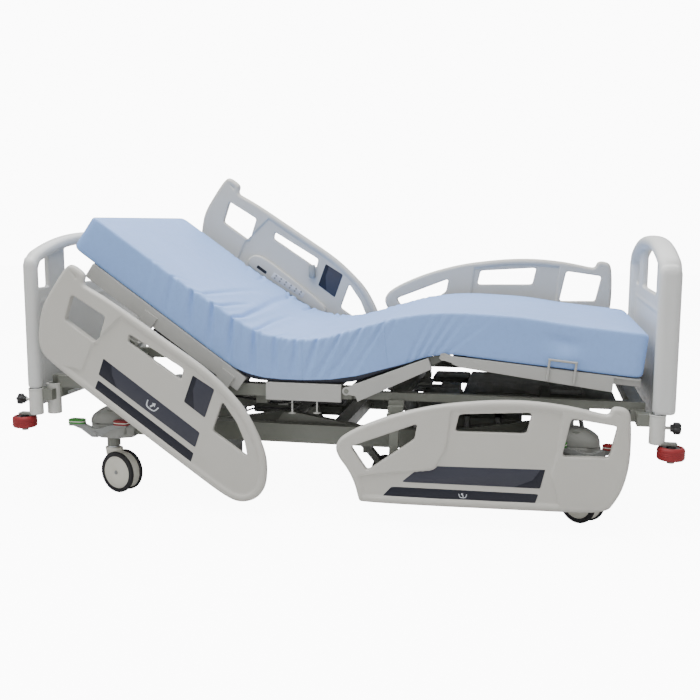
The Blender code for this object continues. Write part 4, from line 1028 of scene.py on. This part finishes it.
def castor(end_name, side_name):
    key = f"{end_name}_{side_name}"
    px, py = ENDS[end_name] * CASTOR_X, SIDES[side_name] * CASTOR_Y
    turn = Matrix.Translation((px, py, 0)) @ Matrix.Rotation(math.radians(CASTOR_TURN[key]), 4, "Z")
    wheel = "castor_wheel_" + key
    lying = Matrix.Rotation(math.radians(90), 4, "X")
    across = turn @ Matrix.Translation((CASTOR_TRAIL, 0, CASTOR_RADIUS)) @ lying
    for number, side in enumerate((-1, 1)):
        z0, z1 = sorted((side * 0.018, side * 0.0305))
        tread = rounded_profile(0.06, CASTOR_RADIUS, z0, z1, 0.005, 6)
        stands_for = () if number else [wheel]
        turned(f"{wheel}_tyre_{number + 1}", tread, 72, across, "tyre", wheel, stands_for)
        face = side * 0.032
        disc = [(0, face - side * 0.001), (0.01, face - side * 0.001), (0.0125, face),
                (0.028, face + side * 0.0015), (0.05, face - side * 0.001), (0.0585, face - side * 0.0035),
                (0.0612, face - side * 0.008), (0.0612, side * 0.0185), (0.0, side * 0.0185)]
        turned(f"{wheel}_disc_{number + 1}", disc, 64, across, "cream", wheel)
        cap = [(0, face + side * 0.002), (0.006, face + side * 0.0016), (0.0075, face - side * 0.001),
               (0, face - side * 0.001)]
        turned(f"{wheel}_hub_{number + 1}", cap, 32, across, "drive", wheel)
    fork = "castor_fork_" + key
    body = bmesh.new()
    turns = np.radians(np.linspace(-52, 232, 48))
    guard = [(CASTOR_TRAIL + 0.07 * math.cos(t), CASTOR_RADIUS + 0.07 * math.sin(t)) for t in turns]
    guard = [(-0.034, 0.15) if -0.034 < x < 0.0 and z > 0.135 else (x, z) for x, z in guard]
    loop = spaced(np.array(guard), 0.004)
    slab(body, [loop], -0.017, 0.017, rail_put)
    neck = []
    for k in (0.0, 0.3, 0.6, 0.85, 1.0):
        half = 0.0172 + 0.006 * k
        section = rounded(-0.03 - 0.004 * k, 0.04 - 0.006 * k, -half, half, 0.0165 + 0.005 * k, 6)
        neck.append((section, 0.118 + 0.044 * k))
    loft(body, neck)
    shell = remeshed(body, fork, 0.0024, 5)
    add_piece(fork + "_housing", placed(shell, turn), "cream", fork, [fork], sharp=0)
    stem = [(0, 0.158), (0.0205, 0.158), (0.0205, 0.1655), (0.011, 0.1675), (0.011, 0.24), (0, 0.24)]
    turned(fork + "_stem", stem, 40, turn, "steel", fork)


def cover(end_name, side_name):
    name = f"corner_cover_{end_name}_{side_name}"
    low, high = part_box(name)
    centre = (low + high) / 2
    half_x, half_y = (high.x - low.x) / 2, (high.y - low.y) / 2

    def outline(scale, power):
        turns = np.linspace(0, 2 * math.pi, 97)[:-1]
        c, s = np.cos(turns), np.sin(turns)
        if power:
            reach = (np.abs(c) ** power + np.abs(s) ** power) ** (-1 / power)
        else:
            reach = 1 / np.maximum.reduce([np.abs(c), np.abs(s), (np.abs(c) + np.abs(s)) / 1.42])
        return np.stack([centre.x + c * reach * half_x * scale, centre.y + s * reach * half_y * scale],
                        axis=1)

    levels = [(0.0, 0.9, 0), (0.03, 0.935, 0), (0.3, 1.0, 0), (0.42, 1.0, 0), (0.445, 0.985, 0),
              (0.455, 0.93, 0), (0.475, 0.93, 6), (0.485, 0.955, 6), (0.62, 0.955, 5), (0.72, 0.91, 4),
              (0.8, 0.8, 3.4), (0.88, 0.66, 3.0), (0.95, 0.5, 2.6), (0.99, 0.34, 2.4)]
    bm = bmesh.new()
    rings = []
    for share, scale, power in levels:
        z = low.z + (high.z - low.z) * share
        rings.append([bm.verts.new((x, y, z)) for x, y in outline(scale, power)])
    ring_faces(bm, rings, closed=False)
    bm.faces.new(rings[-1])
    bmesh.ops.recalc_face_normals(bm, faces=bm.faces[:])
    obj = bpy.data.objects.new(name + "_form", make_mesh(name, bm))
    bpy.context.scene.collection.objects.link(obj)
    wall = obj.modifiers.new("wall", "SOLIDIFY")
    wall.thickness = 0.003
    wall.offset = -1.0
    add_piece(name + "_shell", applied(obj), "cover", "base", [name], sharp=45)
    cap = [(0, 0.0), (0.012, 0.0), (0.014, -0.002), (0.014, -0.008), (0, -0.008)]
    place = Matrix.Translation((centre.x, centre.y, high.z + 0.0025))
    turned(name + "_cap", cap, 40, place, "drive", "base")


def pedals():
    for end_name, end in ENDS.items():
        body = "brake_treadle_" + end_name
        for side_name, side in SIDES.items():
            y = side * PEDAL_Y
            outer, inner = ("green", "red") if end < 0 else ("red", "green")
            for color, x0, x1, z in ((outer, 0.902, 0.966, 0.2545), (inner, 0.732, 0.792, 0.256)):
                a, b = sorted((end * x0, end * x1))
                loop = rounded(a, b, y - 0.019, y + 0.019, 0.0165, 8)
                name = f"{body}_{color}_pad_{side_name}"
                pad(name, loop, z, z + 0.0068, 0.0022, "pedal_" + color, body)
                # The cream band between the pad's two coloured layers is a painted highlight along the pad's
                # edge.
                pad(name + "_highlight_band", shrunk(spaced(loop, 0.003), 0.0008), z + 0.0058, z + 0.01, 0.0006,
                    "cream", body)
                pad(name + "_top", loop, z + 0.0092, z + 0.0165, 0.0045, "pedal_" + color, body)
                bm = bmesh.new()
                for i in range(5):
                    x = a + (b - a) * (i + 1.5) / 7
                    rib = rounded(x - 0.0016, x + 0.0016, y - 0.0125, y + 0.0125, 0.0012, 3)
                    slab(bm, [rib], z + 0.0155, z + 0.0178, flat_put)
                add_piece(name + "_ribs", make_mesh(name, bm), "pedal_" + color, body)


def bumpers():
    for end_name, end in ENDS.items():
        for side_name, side in SIDES.items():
            key = f"{end_name}_{side_name}"
            place = Matrix.Translation((end * BUMPER_X, side * BUMPER_Y, 0))
            node = "bumper_wheel_" + key
            profile = [(0.01, 0.247), (0.033, 0.247), (0.0385, 0.248), (0.0418, 0.252), (0.043, 0.258),
                       (0.0418, 0.261), (0.043, 0.264), (0.0418, 0.2672), (0.043, 0.2704), (0.0418, 0.2735),
                       (0.043, 0.2765), (0.0415, 0.283), (0.038, 0.2872), (0.033, 0.2885), (0.03, 0.2865),
                       (0.0285, 0.28), (0.01, 0.28)]
            turned(node + "_tyre", profile, 64, place, "red", node, [node])
            hub = [(0.0068, 0.2462), (0.013, 0.2462), (0.013, 0.279), (0.027, 0.28), (0.0285, 0.283),
                   (0.027, 0.285), (0.015, 0.285), (0.0135, 0.2892), (0.0068, 0.2892)]
            turned(node + "_hub", hub, 48, place, "black", node)
            knob(key, end, side)


def knob(key, end, side):
    """A five-lobed star knob with a domed face, on its threaded shaft."""
    node = "clamp_knob_" + key
    turns = np.linspace(0, 2 * math.pi, 81)[:-1]
    lobes = 0.017 + 0.0032 * np.cos(5 * turns)
    star = np.stack([lobes * np.cos(turns), lobes * np.sin(turns)], axis=1)
    bm = bmesh.new()
    levels = [(0.55, 0.0), (0.62, 0.0015), (0.66, 0.008), (0.95, 0.011), (1.0, 0.0135), (1.0, 0.026),
              (0.95, 0.0295), (0.8, 0.032), (0.4, 0.033)]
    loft(bm, [(star * s, h) for s, h in levels])
    turn = Matrix.Rotation(math.radians(90 * end), 4, "Y")
    place = Matrix.Translation((end * KNOB_X, side * POST_Y, KNOB_Z)) @ turn
    add_piece(node + "_grip", placed(make_mesh(node, bm), place), "black", node, [node], sharp=50)
    shaft = [(0, -0.0165), (0.0046, -0.0165), (0.0052, -0.0155), (0.0052, 0.006), (0, 0.006)]
    turned(node + "_shaft", shaft, 28, place, "zinc", node)


# Parts that keep their CAD shape

CAD_FINISH = {
    "base_frame": "frame", "lift_actuator_body": "drive", "brake_treadle_head": "drive",
    "brake_treadle_foot": "drive", "fifth_wheel_arm": "frame", "fifth_wheel": "tyre",
    "head_lift_arm": "frame", "head_yoke": "frame", "foot_lift_arm": "frame", "jack_tube": "drive",
    "jack_rod": "steel", "lift_actuator_rod": "steel", "upper_frame": "frame", "control_box": "black",
    "seat_section": "deck", "back_actuator_body": "drive", "knee_actuator_body": "drive",
    "back_section": "deck", "thigh_section": "deck", "calf_section": "deck", "back_actuator_rod": "steel",
    "knee_actuator_rod": "steel",
}


def cad_finishes():
    for node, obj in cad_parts.items():
        if obj.hide_render:
            continue
        finish = CAD_FINISH.get(node, "frame")
        obj.data.materials.clear()
        obj.data.materials.append(M[finish])
        obj.data.shade_smooth()
        obj.data.set_sharp_from_angle(angle=math.radians(32))
    # The knee plates get painted shade in the deck's material.
    paint_knee_shade(M["deck"])


def paint_knee_shade(material):
    """Painted shade: the hinge plates between the leg sections' side flanges get a darker grey than the
    deck, for the shade that falls between the flanges.
    """
    n = Nodes("deck_paint", material)
    paint = n.shader.inputs["Base Color"]
    before = paint.links[0].from_socket
    apart = n.add("ShaderNodeSeparateXYZ", {0: n.place})
    masks = []
    for axis, middle, half in (("X", 0.385, 0.075), ("Y", 0.0, 0.4082)):
        away = n.calc("ABSOLUTE", n.calc("SUBTRACT", apart.outputs[axis], middle))
        masks.append(n.calc("LESS_THAN", away, half))
    # The darker grey mixed in here is painted shade, not a different paint.
    n.put(paint, n.mix(n.times(*masks), before, (*srgb(92, 94, 88), 1.0)))


# Sockets, hooks, wires and cables on the frame

def frame_details():
    for end_name, end in ENDS.items():
        for side_name, side in SIDES.items():
            place = Matrix.Translation((end * POST_X, side * POST_Y, 0))
            sleeve(f"post_socket_{end_name}_{side_name}", place, 0.2935, 0.388, 0.0248, 0.02)
    place = Matrix.Translation((ACCESSORY_X, ACCESSORY_Y, 0))
    sleeve("accessory_socket", place, 0.2905, 0.4005, 0.0252, 0.0188)
    for letter, x, low in (("a", -0.131, 0.327), ("b", -0.044, 0.331)):
        stem = [(0, low), (0.013, low), (0.0135, low + 0.001), (0.0034, low + 0.0045), (0.003, low + 0.008),
                (0.003, 0.387), (0, 0.387)]
        place = Matrix.Translation((x, -0.399, 0))
        turned(f"accessory_stem_{letter}", stem, 32, place, "post", "upper_frame", slot="steel")
    cable("lift_cable", [(-0.08, -0.08, 0.335), (-0.11, -0.06, 0.3), (-0.26, -0.02, 0.262),
                         (-0.4, 0.01, 0.25), (-0.47, 0.01, 0.214)], 0.004, "")
    cable("back_cable", [(-0.13, -0.12, 0.345), (-0.2, -0.15, 0.318), (-0.42, -0.12, 0.322),
                         (-0.64, -0.09, 0.33), (-0.69, -0.07, 0.336)], 0.0035)
    cable("knee_cable", [(-0.01, -0.08, 0.345), (0.06, -0.01, 0.318), (0.18, 0.08, 0.3),
                         (0.33, 0.11, 0.312), (0.362, 0.118, 0.322)], 0.0035)


def trays():
    """Plain housings between the long members: a tray under the legs and the battery box on the base."""
    def tray(name, x0, x1, y0, y1, z0, z1, finish, body, edge=0.006):
        pad(name, rounded(x0, x1, y0, y1, 0.014), z0, z1, edge, finish, body)

    tray("leg_tray", 0.43, 0.96, -0.205, 0.33, 0.35, 0.378, "dark", "upper_frame")
    tray("leg_tray_near", 0.288, 0.428, -0.205, -0.062, 0.352, 0.376, "dark", "upper_frame")
    tray("leg_tray_far", 0.288, 0.428, 0.175, 0.33, 0.352, 0.376, "dark", "upper_frame")
    tray("leg_tray_lid", 0.47, 0.7, -0.18, 0.06, 0.3765, 0.384, "dark", "upper_frame", 0.003)
    tray("leg_tray_box", 0.735, 0.85, -0.12, 0.0, 0.3765, 0.396, "drive", "upper_frame", 0.004)
    tray("battery_box", 0.3, 0.64, -0.205, 0.18, 0.208, 0.3, "dark", "base", 0.01)
    for index, x in enumerate((0.352, 0.452, 0.56)):
        tray(f"battery_rib_{index + 1}", x - 0.004, x + 0.004, -0.2085, 0.16, 0.215, 0.3035, "drive",
             "base", 0.0015)
    for side_name, side in SIDES.items():
        carrier = spaced(rounded(0.586, 0.86, 0.113, 0.146, 0.006), 0.004)
        place = BACK_TILT @ Matrix.Diagonal((-1, side, 1, 1))
        pad("rail_carrier_" + side_name, carrier, 0.4075, 0.4215, 0.002, "black", "back", place, rail_put)
    tray("mains_duct", -0.42, -0.05, 0.075, 0.205, 0.222, 0.262, "dark", "base", 0.008)
    tray("mains_duct_lid", -0.36, -0.12, 0.09, 0.185, 0.2605, 0.268, "drive", "base", 0.003)


def sleeve(name, place, low, high, radius, bore):
    profile = [(bore, low + 0.003), (bore + 0.002, low), (radius - 0.002, low), (radius, low + 0.002),
               (radius, high - 0.0045), (radius + 0.0012, high - 0.004), (radius + 0.0012, high - 0.0008),
               (radius, high), (bore + 0.001, high), (bore, high - 0.001)]
    turned(name, profile, 48, place, "post", "upper_frame")


# Stage

CAMERA_PLACE = (0.674, -3.416, 0.981)
CAMERA_ANGLES = (-11.317, 7.928, 0.22)      # yaw, pitch and roll, in degrees
CAMERA_LENS = 47.536
BACKDROP, FLOOR_GLOW = 11.0, 10.0           # what only the camera sees, so the light stays soft


def studio_world():
    """Even light that is stronger from above, in front of a white backdrop."""
    world = bpy.data.worlds.new("studio")
    bpy.context.scene.world = world
    world.use_nodes = True
    tree = world.node_tree
    back = tree.nodes["Background"]
    back.inputs["Color"].default_value = (1.0, 1.0, 1.0, 1.0)
    place = tree.nodes.new("ShaderNodeTexCoord")
    split = tree.nodes.new("ShaderNodeSeparateXYZ")
    tree.links.new(place.outputs["Generated"], split.inputs[0])
    height = tree.nodes.new("ShaderNodeMapRange")
    tree.links.new(split.outputs["Z"], height.inputs["Value"])
    for socket, value in (("From Min", -0.2), ("From Max", 1.0), ("To Min", 0.22), ("To Max", 1.15)):
        height.inputs[socket].default_value = value
    rays = tree.nodes.new("ShaderNodeLightPath")
    choose = tree.nodes.new("ShaderNodeMix")
    tree.links.new(rays.outputs["Is Camera Ray"], choose.inputs["Factor"])
    tree.links.new(height.outputs["Result"], choose.inputs["A"])
    choose.inputs["B"].default_value = BACKDROP
    tree.links.new(choose.outputs["Result"], back.inputs["Strength"])


def stage_and_camera():
    bpy.ops.mesh.primitive_plane_add(size=30)
    floor = bpy.context.active_object
    floor.name = "floor"
    n = Nodes("floor_white")
    n.put(n.shader.inputs["Base Color"], (0.6, 0.6, 0.6, 1.0))
    n.put(n.shader.inputs["Roughness"], 0.9)
    n.put(n.shader.inputs["Emission Color"], (1.0, 1.0, 1.0, 1.0))
    seen = n.add("ShaderNodeLightPath").outputs["Is Camera Ray"]
    n.put(n.shader.inputs["Emission Strength"], n.times(seen, FLOOR_GLOW))
    floor.data.materials.append(n.material)
    studio_world()
    for name, place, size, power in (("key", (-1.0, -0.9, 4.2), 3.0, 190),
                                     ("fill", (2.2, -4.2, 1.9), 3.0, 14),
                                     ("top", (0.3, 1.6, 4.0), 4.5, 150)):
        data = bpy.data.lights.new(name, "AREA")
        data.size = size
        data.energy = power
        lamp = bpy.data.objects.new(name, data)
        lamp.location = place
        lamp.rotation_euler = (Vector((0, 0, 0.5)) - Vector(place)).to_track_quat("-Z", "Y").to_euler()
        bpy.context.scene.collection.objects.link(lamp)
    data = bpy.data.cameras.new("camera")
    data.lens = CAMERA_LENS
    data.sensor_width = 36.0
    camera = bpy.data.objects.new("camera", data)
    yaw, pitch, roll = (math.radians(angle) for angle in CAMERA_ANGLES)
    aim = Matrix.Rotation(-yaw, 4, "Z") @ Matrix.Rotation(math.radians(90) - pitch, 4, "X")
    camera.matrix_world = Matrix.Translation(CAMERA_PLACE) @ aim @ Matrix.Rotation(roll, 4, "Z")
    bpy.context.scene.collection.objects.link(camera)
    bpy.context.scene.camera = camera


def main():
    rails()
    boards()
    mattress()
    for end_name in ENDS:
        for side_name in SIDES:
            castor(end_name, side_name)
            cover(end_name, side_name)
    pedals()
    bumpers()
    cad_finishes()
    frame_details()
    trays()
    stage_and_camera()


main()
